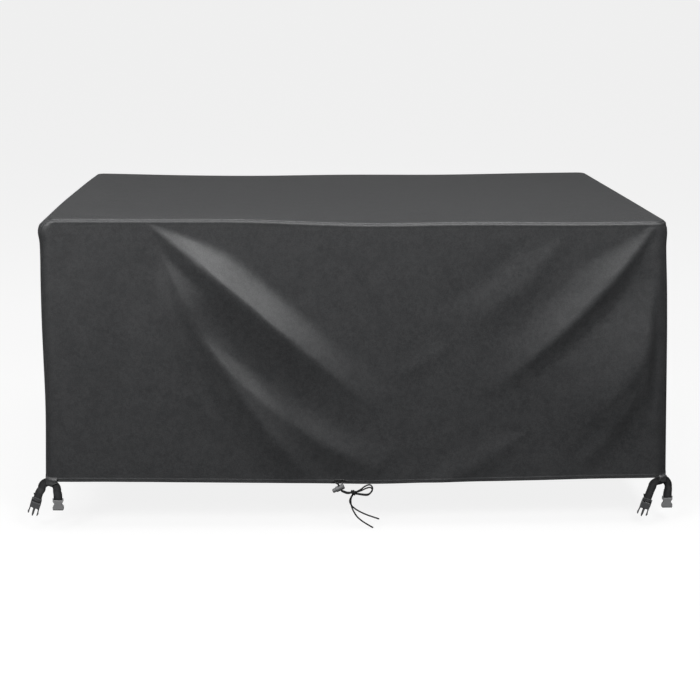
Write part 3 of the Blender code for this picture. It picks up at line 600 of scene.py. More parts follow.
def round_outline(radius: float, count: int) -> np.ndarray:
    """Return a circle as an outline."""
    turn = np.linspace(0.0, TURN, count, endpoint=False)
    return radius * np.stack((np.cos(turn), np.sin(turn)), axis=-1)


def tube(line: np.ndarray, radius: float, count: int = 14) -> Patch:
    """Return a round cord along a path, drawn in at its two ends as a cut and sealed one is.

    Within a radius of an end its size follows a quarter circle, down to the root of 0.08.

    Args:
        line: the path's points.
        radius: the cord's radius.
        count: the points of its outline.

    Returns:
        The closed surface.
    """
    reach = travelled(line)
    near = np.clip(np.minimum(reach, reach[-1] - reach) / radius, 0.0, 1.0)
    sizes = radius * np.sqrt(np.clip(1.0 - (1.0 - near) ** 2, 0.08, 1.0))
    side, face = turning_frame(line)
    return swept(line, side, face, round_outline(1.0, count)[None] * sizes[:, None, None])


@dataclass(frozen=True)
class Stitch:
    """A row of lockstitches."""

    pitch: float = 4.3 * MM
    length: float = 3.3 * MM
    half_width: float = 0.42 * MM
    half_height: float = 0.30 * MM

    def along(self, path: np.ndarray, out: np.ndarray) -> Patch:
        """Return the stitches that lie on a path.

        Each stitch is a small barrel of four rings, placed by its middle, the way along and
        the way out of the cloth: point = middle + along * x + across * y + out * z.

        Args:
            path: points on the cloth's face, close together.
            out: the direction out of the cloth at each point.

        Returns:
            The stitches as one patch.
        """
        def at(spots: np.ndarray, rows: np.ndarray) -> np.ndarray:
            """Return rows at distances along the path."""
            return np.column_stack([np.interp(spots, reach, column) for column in rows.T])

        reach = travelled(path)
        count = max(1, int((reach[-1] - self.length) / self.pitch))
        slack = 0.5 * (reach[-1] - (count - 1) * self.pitch)
        places = slack + self.pitch * np.arange(count)
        middle, up = at(places, path), unit(at(places, out))
        way = unit(at(places + MM, path) - at(places - MM, path))
        across = np.cross(up, way)
        # Each ring's place along the stitch, its size and its height.
        rings = np.array([
            (-0.5, 0.35, -0.5), (-0.22, 1.0, 0.45), (0.22, 1.0, 0.45), (0.5, 0.35, -0.5),
        ])
        ring = np.array([(1.0, 0.0), (0.0, 1.0), (-1.0, 0.0), (0.0, -1.0)])
        x = np.repeat(rings[:, 0] * self.length, 4)
        y = (rings[:, 1:2] * ring[:, 0]).ravel() * self.half_width
        z = ((rings[:, 1:2] * ring[:, 1]) + rings[:, 2:3]).ravel() * self.half_height
        points = (
            middle[:, None] + way[:, None] * x[None, :, None]
            + across[:, None] * y[None, :, None] + up[:, None] * z[None, :, None]
        )
        index = np.arange(16).reshape(4, 4)
        nxt = np.roll(index, -1, axis=1)
        sides = np.stack((index[:-1], nxt[:-1], nxt[1:], index[1:]), axis=-1).reshape(-1, 4)
        one = np.concatenate((sides[:, ::-1], index[:1], index[-1:, ::-1]))
        faces = (one[None] + 16 * np.arange(count)[:, None, None]).reshape(-1, 4)
        uv = np.tile(np.stack((y, x), axis=-1), (count, 1))
        return Patch(points.reshape(-1, 3), faces.tolist(), uv[faces].reshape(-1, 2))


@dataclass
class Sewing:
    """Materials of the cover and the way pieces are put in the scene."""

    cloth: bpy.types.Material
    # tab is a lighter copy of the cloth: painted light on the corner tabs.
    tab: bpy.types.Material
    webbing: bpy.types.Material
    cord: bpy.types.Material
    thread: bpy.types.Material
    prongs: bpy.types.Material
    lock: bpy.types.Material

    def add(self, name: str, patch: Patch, material: bpy.types.Material, slot: str,
            stands_for: Sequence[str] = (), sharp: float = 50.0) -> bpy.types.Object:
        """Put a piece in the scene.

        Args:
            name: the piece's name.
            patch: its surface.
            material: its finish.
            slot: the record's material slot; not used.
            stands_for: the CAD nodes that it replaces.
            sharp: the angle in degrees above which an edge is drawn sharp.

        Returns:
            The new object, at the origin.
        """
        mesh = bpy.data.meshes.new(name)
        mesh.from_pydata(patch.points.tolist(), [], patch.faces)
        layer = mesh.uv_layers.new(name="metres")
        layer.uv.foreach_set("vector", np.ascontiguousarray(patch.uvs, dtype=np.float32).ravel())
        mesh.materials.append(material)
        mesh.shade_smooth()
        mesh.set_sharp_from_angle(angle=math.radians(sharp))
        item = bpy.data.objects.new(name, mesh)
        bpy.context.scene.collection.objects.link(item)
        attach(item, BODY)
        if stands_for:
            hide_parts(*stands_for)
        log.info("%s: %d faces", name, len(patch.faces))
        return item

    @staticmethod
    def dress(node: str, material: bpy.types.Material) -> None:
        """Give a CAD node its finish."""
        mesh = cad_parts[node].data
        mesh.materials.clear()
        mesh.materials.append(material)
        log.info("%s: dressed", node)


# The drape


@dataclass(frozen=True)
class Fold:
    """One ridge of a skirt panel, or a furrow where its height is negative.

    start, middle and end are (along, drop) on the panel, along to the viewer's right and
    drop downwards. right and left are the widths of its two flanks, rise and fade the shares
    of its length over which it widens and dies away, and crest is how round its top is.
    """

    start: tuple[float, float]
    middle: tuple[float, float]
    end: tuple[float, float]
    height: float
    right: float
    left: float
    rise: float
    fade: float
    crest: float = 0.25


# Pieces of a fold's line, the width over which one flank gives way to the other, and the
# share of its flanks' width that a fold has where it starts.
FOLD_STEPS = 33
FLANK_CHANGE = 0.020
START_SHARE = 0.08


@dataclass(frozen=True)
class Panel:
    """A skirt panel: its side, half length, distance out, columns and the way it faces."""

    side: str
    half: float
    reach: float
    along: tuple[int, int]
    out: tuple[int, int]
    columns: int


@dataclass(frozen=True)
class Corner:
    """A corner of the hem.

    outer is the buckle half on its outer side, low its strap's extra droop in mm, spans the
    strap's reach to its two legs in mm, tab the tab's two ends from the strap's middle in mm,
    and lean how far its slack stands out sideways in mm at each of LEAN_DROPS.
    """

    name: str
    side: int
    face: int
    outer: Half
    low: float
    spans: tuple[float, float]
    tab: tuple[float, float]
    lean: tuple[float, ...]


FOLDS = {
    "front": (
        Fold((-0.620, 0.000), (-0.312, 0.246), (0.11, 0.60), 0.040, 0.085, 0.150, 0.40, 0.45, 0.08),
        Fold((-0.58, 0.065), (-0.39, 0.44), (-0.13, 0.77), 0.023, 0.072, 0.105, 0.26, 0.22, 0.13),
        Fold((-0.530, 0.240), (-0.255, 0.545), (0.09, 0.73), 0.015, 0.080, 0.080, 0.60, 0.22, 0.15),
        Fold((-0.560, 0.180), (-0.500, 0.430), (-0.36, 0.70), 0.006, 0.035, 0.050, 0.40, 0.30),
        Fold((0.530, 0.005), (0.360, 0.160), (0.12, 0.30), -0.003, 0.060, 0.070, 0.45, 0.50),
        Fold((0.610, 0.010), (0.480, 0.180), (0.26, 0.34), 0.007, 0.060, 0.080, 0.45, 0.45),
        Fold((0.893, -0.035), (0.655, 0.262), (0.33, 0.54), 0.022, 0.062, 0.100, 0.42, 0.50, 0.10),
        Fold((0.960, 0.020), (0.835, 0.400), (0.58, 0.66), 0.029, 0.150, 0.270, 0.60, 0.35, 0.12),
        Fold((0.870, 0.440), (0.765, 0.605), (0.66, 0.75), 0.007, 0.045, 0.050, 0.45, 0.25),
        Fold((0.540, 0.590), (0.370, 0.705), (0.18, 0.79), 0.006, 0.060, 0.070, 0.45, 0.20),
        Fold((-0.875, 0.120), (-0.848, 0.270), (-0.79, 0.50), 0.003, 0.035, 0.040, 0.40, 0.40),
    ),
    "back": (
        Fold((-0.800, 0.010), (-0.560, 0.300), (-0.22, 0.62), 0.018, 0.080, 0.120, 0.45, 0.45),
        Fold((0.780, 0.010), (0.600, 0.320), (0.30, 0.70), 0.016, 0.120, 0.080, 0.45, 0.35),
        Fold((-0.100, 0.360), (-0.060, 0.560), (0.02, 0.79), 0.008, 0.070, 0.080, 0.45, 0.10),
    ),
    "left": (
        Fold((-0.500, 0.010), (-0.360, 0.300), (-0.12, 0.64), 0.015, 0.070, 0.110, 0.45, 0.40),
        Fold((0.510, 0.010), (0.400, 0.300), (0.22, 0.72), 0.012, 0.100, 0.070, 0.45, 0.25),
    ),
    "right": (
        Fold((-0.500, 0.010), (-0.400, 0.280), (-0.20, 0.66), 0.015, 0.070, 0.100, 0.45, 0.35),
        Fold((0.490, 0.010), (0.330, 0.320), (0.10, 0.70), 0.012, 0.110, 0.070, 0.45, 0.30),
    ),
}
# Shallow creases that only show in the light.
CREASES = {
    "front": (
        Fold((-0.655, 0.240), (-0.640, 0.380), (-0.62, 0.56), 0.0018, 0.030, 0.040, 0.40, 0.40),
        Fold((-0.560, 0.020), (-0.470, 0.090), (-0.36, 0.15), 0.0030, 0.020, 0.030, 0.40, 0.50),
        Fold((0.300, 0.330), (0.180, 0.410), (0.06, 0.46), 0.0030, 0.050, 0.050, 0.40, 0.50),
        Fold((0.150, 0.620), (0.080, 0.690), (0.03, 0.76), 0.0025, 0.040, 0.040, 0.40, 0.30),
    ),
    "back": (
        Fold((0.300, 0.050), (0.260, 0.250), (0.16, 0.52), 0.0030, 0.050, 0.060, 0.40, 0.40),
        Fold((-0.420, 0.300), (-0.360, 0.480), (-0.28, 0.74), 0.0040, 0.040, 0.060, 0.40, 0.30),
    ),
    "left": (Fold((0.060, 0.200), (0.080, 0.420), (0.05, 0.74), 0.0030, 0.040, 0.050, 0.40, 0.20),),
    "right": (
        Fold((0.040, 0.160), (-0.020, 0.400), (-0.03, 0.74), 0.0030, 0.040, 0.050, 0.40, 0.20),
    ),
}

# Height of the cover's top edge and of its hem: (x or y along the side, fall in mm).
EDGE_FALL = {
    "front": (
        (-0.90, -10.0), (-0.60, -9.0), (-0.33, -8.0), (-0.11, 0.0), (0.0, 3.0), (0.32, 0.0),
        (0.70, 1.5), (0.90, -1.0),
    ),
    "back": (
        (-0.90, 0.0), (-0.65, 5.8), (-0.35, 8.3), (0.0, 4.0), (0.37, 3.6), (0.70, -2.0),
        (0.90, -5.0),
    ),
    "left": ((-0.60, -10.0), (-0.15, -12.0), (0.10, -9.5), (0.30, -7.5), (0.47, -4.0), (0.60, 0.0)),
    "right": ((-0.60, -1.0), (-0.30, -2.5), (0.20, -4.0), (0.60, -5.0)),
}
HEM_FALL = {
    "front": (
        (-0.90, -0.5), (-0.60, 3.4), (-0.33, 8.2), (-0.18, 10.3), (-0.05, 13.5), (0.085, 14.9),
        (0.20, 12.8), (0.30, 10.5), (0.44, 10.0), (0.60, 6.8), (0.75, 5.2), (0.90, 4.0),
    ),
    "back": ((-0.90, 0.0), (0.0, 4.0), (0.90, 0.0)),
    "left": ((-0.60, -0.5), (0.0, 2.0), (0.60, 0.0)),
    "right": ((-0.60, 4.0), (0.0, 3.0), (0.60, 0.0)),
}
LEAN_DROPS = (0.003, 0.010, 0.020, 0.030, 0.070, 0.110, 0.170, 0.290, 0.410, 0.530, 0.760)
BACK_LEAN = (0.0, 3.0, 6.0, 8.0, 6.5, 5.0, 3.5, 2.0, 1.0, 0.5, 0.0)
CORNERS = (
    Corner(
        "front_left", -1, -1, Half.MALE, -0.5, (31.0, 25.0), (-33.0, 8.0),
        (0.0, 10.0, 19.0, 22.0, 18.0, 16.5, 16.0, 13.5, 9.0, 4.5, 4.0),
    ),
    Corner(
        "front_right", 1, -1, Half.FEMALE, 9.0, (42.0, 20.0), (-22.0, 8.0),
        (0.0, 0.0, 3.0, 4.0, 2.5, 3.5, 6.0, 8.8, 9.8, 10.5, 12.0),
    ),
    Corner("back_right", 1, 1, Half.MALE, 0.0, (31.0, 25.0), (-33.0, 8.0), BACK_LEAN),
    Corner("back_left", -1, 1, Half.FEMALE, 5.0, (42.0, 20.0), (-22.0, 8.0), BACK_LEAN),
)


@dataclass(frozen=True)
class Rows:
    """Rows of a skirt panel's surface: drop, what the rolled edge takes off, and the way out."""

    drop: np.ndarray
    inset: np.ndarray
    out: np.ndarray
    up: np.ndarray
    seam: np.ndarray


@dataclass(frozen=True)
class Drape:
    """The cover's sizes and the formula of its hanging cloth.

    flare is how far the skirt's foot stands out, and spread the share of it that widens the
    corners. roll and corner are the radii of the rolled top edge and of an upright corner.
    fall_reach is how far inward a side's fall carries. foot and steepen shape a fold's flank.
    hem_band, hem_puff, groove and felled are the hem's height and lift, the depth of a seam's
    groove and the width of its felled edge, and step is the width of the step at both edges.
    """

    width: float = 1.80
    depth: float = 1.20
    drop: float = 0.768
    cloth: float = 2.0 * MM
    seam_gap: float = 0.3 * MM
    flare: float = 27.0 * MM
    roll: float = 10.0 * MM
    corner: float = 32.0 * MM
    spread: float = 0.4
    seam_angle: float = math.radians(45.0)
    fall_reach: float = 0.12
    foot: float = 0.12
    steepen: float = 1.5
    hem_band: float = 12.0 * MM
    hem_puff: float = 0.5 * MM
    groove: float = 1.3 * MM
    felled: float = 7.0 * MM
    step: float = 1.6 * MM

    def panels(self) -> tuple[Panel, ...]:
        """Return the four skirt panels."""
        wide, deep = self.width / 2, self.depth / 2
        return (
            Panel("front", wide, deep, (1, 0), (0, -1), 250),
            Panel("right", deep, wide, (0, 1), (1, 0), 110),
            Panel("back", wide, deep, (-1, 0), (0, 1), 170),
            Panel("left", deep, wide, (0, -1), (-1, 0), 110),
        )

    def fold_height(self, fold: Fold, along: np.ndarray, drop: np.ndarray) -> np.ndarray:
        """Return how far one fold lifts each point of its panel off the flat wall.

        The fold's line is a parabola through its middle. Across it the height falls from the
        crest to the foot as 1 minus the root of (distance / flank) squared plus crest squared,
        rounded at the foot and raised to the power steepen, so the flank steepens towards the
        crest. Along the fold the flanks widen and the height grows and fades.

        Args:
            fold: the ridge or furrow.
            along: places along the panel.
            drop: places down it.

        Returns:
            The height at each place.
        """
        start, middle, end = (np.array(point) for point in (fold.start, fold.middle, fold.end))
        control = 2.0 * middle - 0.5 * (start + end)
        shares = np.linspace(0.0, 1.0, FOLD_STEPS)[:, None]
        path = (1 - shares) ** 2 * start + 2 * shares * (1 - shares) * control + shares ** 2 * end
        nearest = np.full(along.shape, np.inf)
        share = np.zeros(along.shape)
        side = np.zeros(along.shape)
        for index, (begin, step) in enumerate(zip(path[:-1], np.diff(path, axis=0))):
            length = np.hypot(*step)
            x, y = along - begin[0], drop - begin[1]
            part = np.clip((x * step[0] + y * step[1]) / length ** 2, 0.0, 1.0)
            distance = np.hypot(x - part * step[0], y - part * step[1])
            closer = distance < nearest
            nearest = np.where(closer, distance, nearest)
            share = np.where(closer, (index + part) / (len(path) - 1), share)
            side = np.where(closer, (x * step[1] - y * step[0]) / length, side)
        grown = smoothstep(share / fold.rise)
        right = smoothstep(0.5 + side / FLANK_CHANGE)
        widened = START_SHARE + (1.0 - START_SHARE) * grown
        flank = (fold.left + (fold.right - fold.left) * right) * widened
        ramp = 1.0 - np.sqrt((nearest / flank) ** 2 + fold.crest ** 2)
        profile = (0.5 * (ramp + np.sqrt(ramp ** 2 + self.foot ** 2))) ** self.steepen
        return fold.height * grown * smoothstep((1.0 - share) / fold.fade) * profile

    def ripple(self, panel: Panel, along: np.ndarray, drop: np.ndarray) -> np.ndarray:
        """Return the faint unevenness of hanging cloth: nine long waves that lean either way.

        Args:
            panel: the skirt panel, which also seeds the waves.
            along: places along it.
            drop: places down it.

        Returns:
            The height at each place.
        """
        draw = np.random.default_rng(len(panel.side) + int(10 * panel.reach))
        total = np.zeros(along.shape)
        for index in range(9):
            wave = 0.09 + 0.24 * draw.random()
            lean = draw.uniform(-0.9, 0.9)
            phase = draw.uniform(0.0, TURN)
            place = (along * math.cos(lean) + drop * math.sin(lean)) / wave
            drift = 0.8 * np.sin(TURN * (drop + 0.13 * index) / 0.55)
            total += wave * np.sin(TURN * place + phase + drift)
        return total * 0.85 * MM

    def folds_of(self, panel: Panel, along: np.ndarray, drop: np.ndarray) -> np.ndarray:
        """Return the sum of a panel's folds, calm at its top seam and at its corners.

        Args:
            panel: the skirt panel.
            along: places along it.
            drop: places down it.

        Returns:
            The height off the flat wall at each place.
        """
        rows = FOLDS[panel.side] + CREASES[panel.side]
        total = sum(self.fold_height(fold, along, drop) for fold in rows)
        total = total + self.ripple(panel, along, drop) * smoothstep(drop / 0.15)
        calm_top = smoothstep((drop - 0.008) / 0.014)
        calm_ends = 1.0 - smoothstep((np.abs(along) - (panel.half - 0.048)) / 0.040)
        return total * calm_top * calm_ends

    def lean_of(self, panel: Panel, sign: np.ndarray, drop: np.ndarray,
                share: np.ndarray) -> np.ndarray:
        """Return how far the slack of a panel's corners stands out sideways.

        Args:
            panel: the skirt panel.
            sign: -1 or 1 for the half of the panel.
            drop: places down it.
            share: places along it, from -1 to 1.

        Returns:
            The lean in metres: each corner's own on the front and back, and blended from one
            corner to the other on the two sides.
        """
        found = []
        for end in (-1, 1):
            x = end * panel.along[0] + panel.out[0]
            y = end * panel.along[1] + panel.out[1]
            corner = next(item for item in CORNERS if (item.side, item.face) == (x, y))
            found.append(through(drop, LEAN_DROPS, np.array(corner.lean) * MM))
        low, high = found
        if panel.out[0] == 0:
            return np.where(sign < 0, low, high)
        return low + (high - low) * smoothstep(0.5 + 0.5 * share)

    def rim_fall(self, falls: dict, x: np.ndarray, y: np.ndarray) -> np.ndarray:
        """Return a fall on or inside the cover's rim, blended from its four sides.

        Each side weighs e to the minus of the distance inward over fall_reach.

        Args:
            falls: the table of falls, in mm, along each side.
            x: places to the right.
            y: places to the back.

        Returns:
            The fall in metres.
        """
        total, weights = np.zeros_like(x), np.zeros_like(x)
        rim_x = self.width / 2 - self.cloth - self.roll
        rim_y = self.depth / 2 - self.cloth - self.roll
        for side, position, inward in (
            ("front", x, rim_y + y), ("back", x, rim_y - y),
            ("left", y, rim_x + x), ("right", y, rim_x - x),
        ):
            weight = np.exp(-np.maximum(inward, 0.0) / self.fall_reach)
            places, values = zip(*falls[side])
            total = total + weight * through(position, places, np.array(values) * MM)
            weights = weights + weight
        return total / np.maximum(weights, 1.0)

    @staticmethod
    def ground(panel: Panel, along: np.ndarray, out: np.ndarray) -> tuple:
        """Return world x and y from the distances along a panel and out from the middle."""
        x = along * panel.along[0] + out * panel.out[0]
        return x, along * panel.along[1] + out * panel.out[1]

    def wall_fall(self, panel: Panel, column: np.ndarray, drop: np.ndarray) -> np.ndarray:
        """Return how far a skirt panel hangs below its usual height, from its edge to its hem.

        Args:
            panel: the skirt panel.
            column: places along it, as wall() takes them.
            drop: places down it.

        Returns:
            The fall in metres.
        """
        rim = self.corner - self.roll * (1.0 - math.sin(self.seam_angle))
        angle = np.clip(np.abs(column) - 1.0, 0.0, 1.0) * self.seam_angle
        along = np.clip(column, -1.0, 1.0) * (panel.half - self.cloth - self.corner)
        along = along + np.sign(column) * rim * np.sin(angle)
        out = panel.reach - self.cloth - self.corner + rim * np.cos(angle)
        x, y = self.ground(panel, along, out)
        share = drop / self.drop
        edge, hem = self.rim_fall(EDGE_FALL, x, y), self.rim_fall(HEM_FALL, x, y)
        return edge * (1.0 - share) + hem * share

    def wall(self, panel: Panel, column: np.ndarray, drop: np.ndarray, inset: np.ndarray | float,
             lift: np.ndarray | float) -> np.ndarray:
        """Return world points of a skirt panel.

        column runs from -2 to 2: up to 1 either way it is the straight part of the wall, and
        past 1 the rounded corner as far as its seam, on a circle whose radius grows with the
        flare and the folds.

        Args:
            panel: the skirt panel.
            column: places along it.
            drop: places down it.
            inset: what the rolled edge takes off the way out.
            lift: the distance off the cloth's inner face.

        Returns:
            The points.
        """
        flare = (1.0 - self.spread) * self.flare * drop / self.drop
        sign = np.sign(column)
        share = np.clip(column, -1.0, 1.0)
        turn = np.clip(np.abs(column) - 1.0, 0.0, 1.0)
        lean = self.lean_of(panel, sign, drop, share)
        straight = panel.half - self.cloth - self.corner + flare
        centre = panel.reach - self.cloth - self.corner + flare
        if panel.out[0] == 0:
            straight = straight + lean
        else:
            centre = centre + lean
        run = share * straight
        radius = self.corner - inset + self.spread * self.flare * drop / self.drop
        unrolled = run + sign * turn * self.seam_angle * self.corner
        radius = radius + self.folds_of(panel, unrolled, drop)
        angle = turn * (self.seam_angle - 0.5 * self.seam_gap / radius)
        radius = radius + lift
        run = run + sign * radius * np.sin(angle)
        x, y = self.ground(panel, run, centre + radius * np.cos(angle))
        return np.stack((x, y, -drop - self.wall_fall(panel, column, drop)), axis=-1)

    def rows(self, hem_half: float) -> Rows:
        """Return the rows of a skirt panel, from its top seam to the round of its hem.

        The rows lie close together at the rolled edge, at the hem's sewn edge and round the hem.

        Args:
            hem_half: half the thickness of the turned hem.

        Returns:
            The rows.
        """
        first = self.seam_angle + 0.5 * self.seam_gap / self.roll
        roll_shares = np.array([0.0, 0.05, 0.12, 0.24, 0.42, 0.7, 1.0])
        turn = first + (math.pi / 2 - first) * roll_shares
        edge = self.drop - self.hem_band
        under_roll = np.array([12.5, 15.0, 18.0]) * MM
        at_edge = np.array([-2.5, -1.2, -0.4, 0.4, 1.2, 3.0, 5.5, 8.5]) * MM
        middle = np.linspace(21.0 * MM, edge - 6.0 * MM, 112)
        flat = np.concatenate((under_roll, middle, edge + at_edge))
        bend = np.radians((0.0, 25.0, 48.0, 68.0, 84.0))
        low = self.drop - hem_half * (1.0 - np.sin(bend))
        drop = np.concatenate((self.roll * (1.0 - np.cos(turn)), flat, low))
        inset = np.concatenate((self.roll * (1.0 - np.sin(turn)), np.zeros(len(flat) + len(low))))
        out = np.concatenate((np.sin(turn), np.ones(len(flat)), np.cos(bend)))
        up = np.concatenate((np.cos(turn), np.zeros(len(flat) + len(low))))
        seam = np.maximum(drop - self.roll, 0.0) + self.roll * (np.arccos(
            np.clip(1.0 - drop / self.roll, 0.0, 1.0)) - self.seam_angle)
        return Rows(drop, inset, out, up, seam)

    def columns(self, panel: Panel) -> np.ndarray:
        """Return the columns of a skirt panel, closer together at its two seams."""
        ends = np.array([1.12, 1.25, 1.38, 1.5, 1.62, 1.73, 1.82, 1.89, 1.94, 1.975, 2.0])
        middle = np.linspace(-1.0, 1.0, panel.columns + 1)
        return np.concatenate((-ends[::-1], middle, ends))

    def seam_lift(self, distance: np.ndarray) -> np.ndarray:
        """Return the cloth's lift beside a seam: a groove, then the felled allowance's step."""
        groove = self.groove * np.exp(-(distance / (1.5 * MM)) ** 2)
        return self.hem_puff * (1.0 - smoothstep((distance - self.felled) / self.step)) - groove

    def hem_lift(self, drop: np.ndarray) -> np.ndarray:
        """Return the lift of the turned hem: a step at its sewn edge, full between."""
        below = drop - self.drop + self.hem_band + 0.4 * MM
        return self.hem_puff * smoothstep(below / self.step)

    def pucker(self, panel: Panel, column: np.ndarray, drop: np.ndarray) -> np.ndarray:
        """Return the small gathers of the front hem where the drawcord comes out of it.

        They are a wave along the hem times a bell of the distance from the cord, and they die
        away upwards.

        Args:
            panel: the skirt panel.
            column: places along it, as wall() takes them.
            drop: places down it.

        Returns:
            The height at each place, nothing except on the front.
        """
        if panel.side != "front":
            return np.zeros(np.broadcast(column, drop).shape)
        wide, high, fade, pitch = 45.0 * MM, 60.0 * MM, 50.0 * MM, 23.5 * MM
        x = np.clip(column, -1.0, 1.0) * panel.half - CORD_X
        near = np.exp(-(x / wide) ** 2) * smoothstep((drop - self.drop + high) / fade)
        return near * 1.1 * MM * np.sin(TURN * x / pitch + 1.1)

    def skirt(self, panel: Panel) -> Patch:
        """Return a skirt panel's closed shell with its seams, felled edges and turned hem.

        Args:
            panel: the skirt panel.

        Returns:
            The shell, its outer and inner faces joined round the hem and at the seams.
        """
        half = 0.5 * self.cloth + self.hem_puff
        rows = self.rows(half)
        column, drop = np.meshgrid(self.columns(panel), rows.drop)
        inset, out, up = (np.repeat(item[:, None], column.shape[1], axis=1)
                          for item in (rows.inset, rows.out, rows.up))
        bulge = self.hem_lift(drop)
        at_top = self.seam_lift(rows.seam[:, None])
        at_ends = self.seam_lift((2.0 - np.abs(column)) * self.seam_angle * self.corner)
        middle = 0.5 * self.cloth + self.pucker(panel, column, drop)
        thick = 0.5 * self.cloth + bulge + at_top + at_ends
        hemmed = drop > self.drop - half
        reach = np.where(hemmed, half * out, thick * out)
        outer = self.wall(panel, column, drop, inset, middle * out + reach)
        outer[..., 2] += (middle + thick) * up
        behind = np.where(hemmed, half * out, (0.5 * self.cloth + 0.5 * bulge) * out)
        inner = self.wall(panel, column, drop, inset, middle * out - behind)
        run = np.clip(column, -1.0, 1.0) * panel.half
        corner_run = 28.0 * MM
        run = run + np.sign(column) * np.maximum(np.abs(column) - 1.0, 0.0) * corner_run
        return shell(outer, inner, np.stack((run, drop), axis=-1))

    def on_skirt(self, panel: Panel, column: np.ndarray, drop: np.ndarray) -> tuple:
        """Return points on a skirt panel's outer face and the directions out of it.

        Args:
            panel: the skirt panel.
            column: places along it, as wall() takes them.
            drop: places down it.

        Returns:
            The points and the directions.
        """
        lift = self.cloth + self.hem_lift(drop) + self.pucker(panel, column, drop)
        seam = np.minimum((2.0 - np.abs(column)) * self.seam_angle * self.corner, drop - 2.2 * MM)
        lift = lift + self.seam_lift(seam)
        face = self.wall(panel, column, drop, 0.0, lift)
        return face, unit(self.wall(panel, column, drop, 0.0, lift + MM) - face)

    def top(self) -> Patch:
        """Return the top panel's closed shell: flat, with a rolled edge down to its seam.

        Past 1, u and v count rings: the first ones lie flat up to the roll, and the others
        turn down round it to the seam.

        Returns:
            The shell.
        """
        last = self.seam_angle - 0.5 * self.seam_gap / self.roll
        turns = last * np.array([0.0, 0.2, 0.4, 0.58, 0.72, 0.83, 0.91, 0.965, 1.0])
        flat = self.corner - self.roll
        turn = np.concatenate((np.zeros(5), turns[1:]))
        level, rolled = flat * np.linspace(0.0, 1.0, 5), flat + self.roll * np.sin(turns[1:])
        rings = np.concatenate((level, rolled))
        ends = np.arange(1, len(rings)) + 1.0
        along_x = np.concatenate((-ends[::-1], np.linspace(-1.0, 1.0, 141), ends))
        along_y = np.concatenate((-ends[::-1], np.linspace(-1.0, 1.0, 91), ends))
        u, v = np.meshgrid(along_x, along_y)
        step_x, step_y = np.maximum(np.abs(u) - 1.0, 0.0), np.maximum(np.abs(v) - 1.0, 0.0)
        ring = np.maximum(step_x, step_y)
        share = np.minimum(step_x, step_y) / np.maximum(ring, 1.0)
        lean = np.where(step_x >= step_y, share, 2.0 - share) * self.seam_angle
        radius = np.interp(ring, np.arange(len(rings)), rings)
        angle = np.interp(ring, np.arange(len(turn)), turn)
        fall = self.roll * (1.0 - np.cos(angle))
        half_x = self.width / 2 - self.cloth - self.corner
        half_y = self.depth / 2 - self.cloth - self.corner
        straight_x = np.clip(u, -1.0, 1.0) * half_x
        straight_y = np.clip(v, -1.0, 1.0) * half_y

        def rim_at(across: np.ndarray) -> tuple[np.ndarray, np.ndarray]:
            """Return x and y at a distance across the rounded rim."""
            return (straight_x + np.sign(u) * across * np.cos(lean),
                    straight_y + np.sign(v) * across * np.sin(lean))

        def face(lift: np.ndarray | float) -> np.ndarray:
            """Return the grid at a lift along the roll's own way out."""
            z = lift * np.cos(angle) - fall - self.rim_fall(EDGE_FALL, *rim_at(radius))
            return np.stack((*rim_at(radius + lift * np.sin(angle)), z), axis=-1)

        seam = self.roll * (last - angle) + np.maximum(flat - radius, 0.0)
        soft = np.sin(9.0 * straight_x + 2.0) * np.sin(7.0 * straight_y + 4.0 * straight_x)
        lift = self.cloth + self.seam_lift(seam) + np.where(ring > 0, 0.0, 0.5 * MM * soft)
        return shell(face(lift), face(0.0), np.stack(rim_at(radius), axis=-1), flip=True)


@dataclass(frozen=True)
class Cover:
    """The five cloth panels and their stitching.

    fullness is what a skirt panel is cut wider than its side, and turnings what it is cut
    longer than its drop.
    """

    drape: Drape
    stitch: Stitch = Stitch()
    fullness: float = 0.035
    turnings: float = 0.02

    def make_top(self, sewing: Sewing) -> None:
        """Build the top panel."""
        drape = self.drape
        top = sewing.add("top_cloth", drape.top(), sewing.cloth, "coated_cloth", ["top_panel"],
                         sharp=70.0)

    def make_skirt(self, sewing: Sewing, panel: Panel) -> None:
        drape = self.drape
        item = sewing.add(f"{panel.side}_cloth", drape.skirt(panel), sewing.cloth, "coated_cloth",
                          [f"{panel.side}_panel"], sharp=70.0)
        thread = sewing.add(f"{panel.side}_stitching", self.stitching(panel), sewing.thread,
                            "coated_cloth")
        flat = (2 * panel.half + self.fullness, drape.drop + self.turnings)

    def stitching(self, panel: Panel) -> Patch:
        """Return a panel's stitches: a row under the top seam, two on the hem, one at each end.

        Args:
            panel: the skirt panel.

        Returns:
            All five rows as one patch.
        """
        drape = self.drape
        wide = np.linspace(-1.9, 1.9, 900)
        patches = []
        for drop in (0.0195, drape.drop - 4.0 * MM, drape.drop - drape.hem_band + 2.4 * MM):
            face, out = drape.on_skirt(panel, wide, np.full(len(wide), drop))
            patches.append(self.stitch.along(face, out))
        down = np.linspace(0.024, drape.drop - drape.hem_band - 2 * MM, 300)
        end = 2.0 - (drape.felled - 1.5 * MM) / (drape.seam_angle * drape.corner)
        for column in (-end, end):
            face, out = drape.on_skirt(panel, np.full(len(down), column), down)
            patches.append(self.stitch.along(face, out))
        return Patch.joined(patches)


# Corner straps


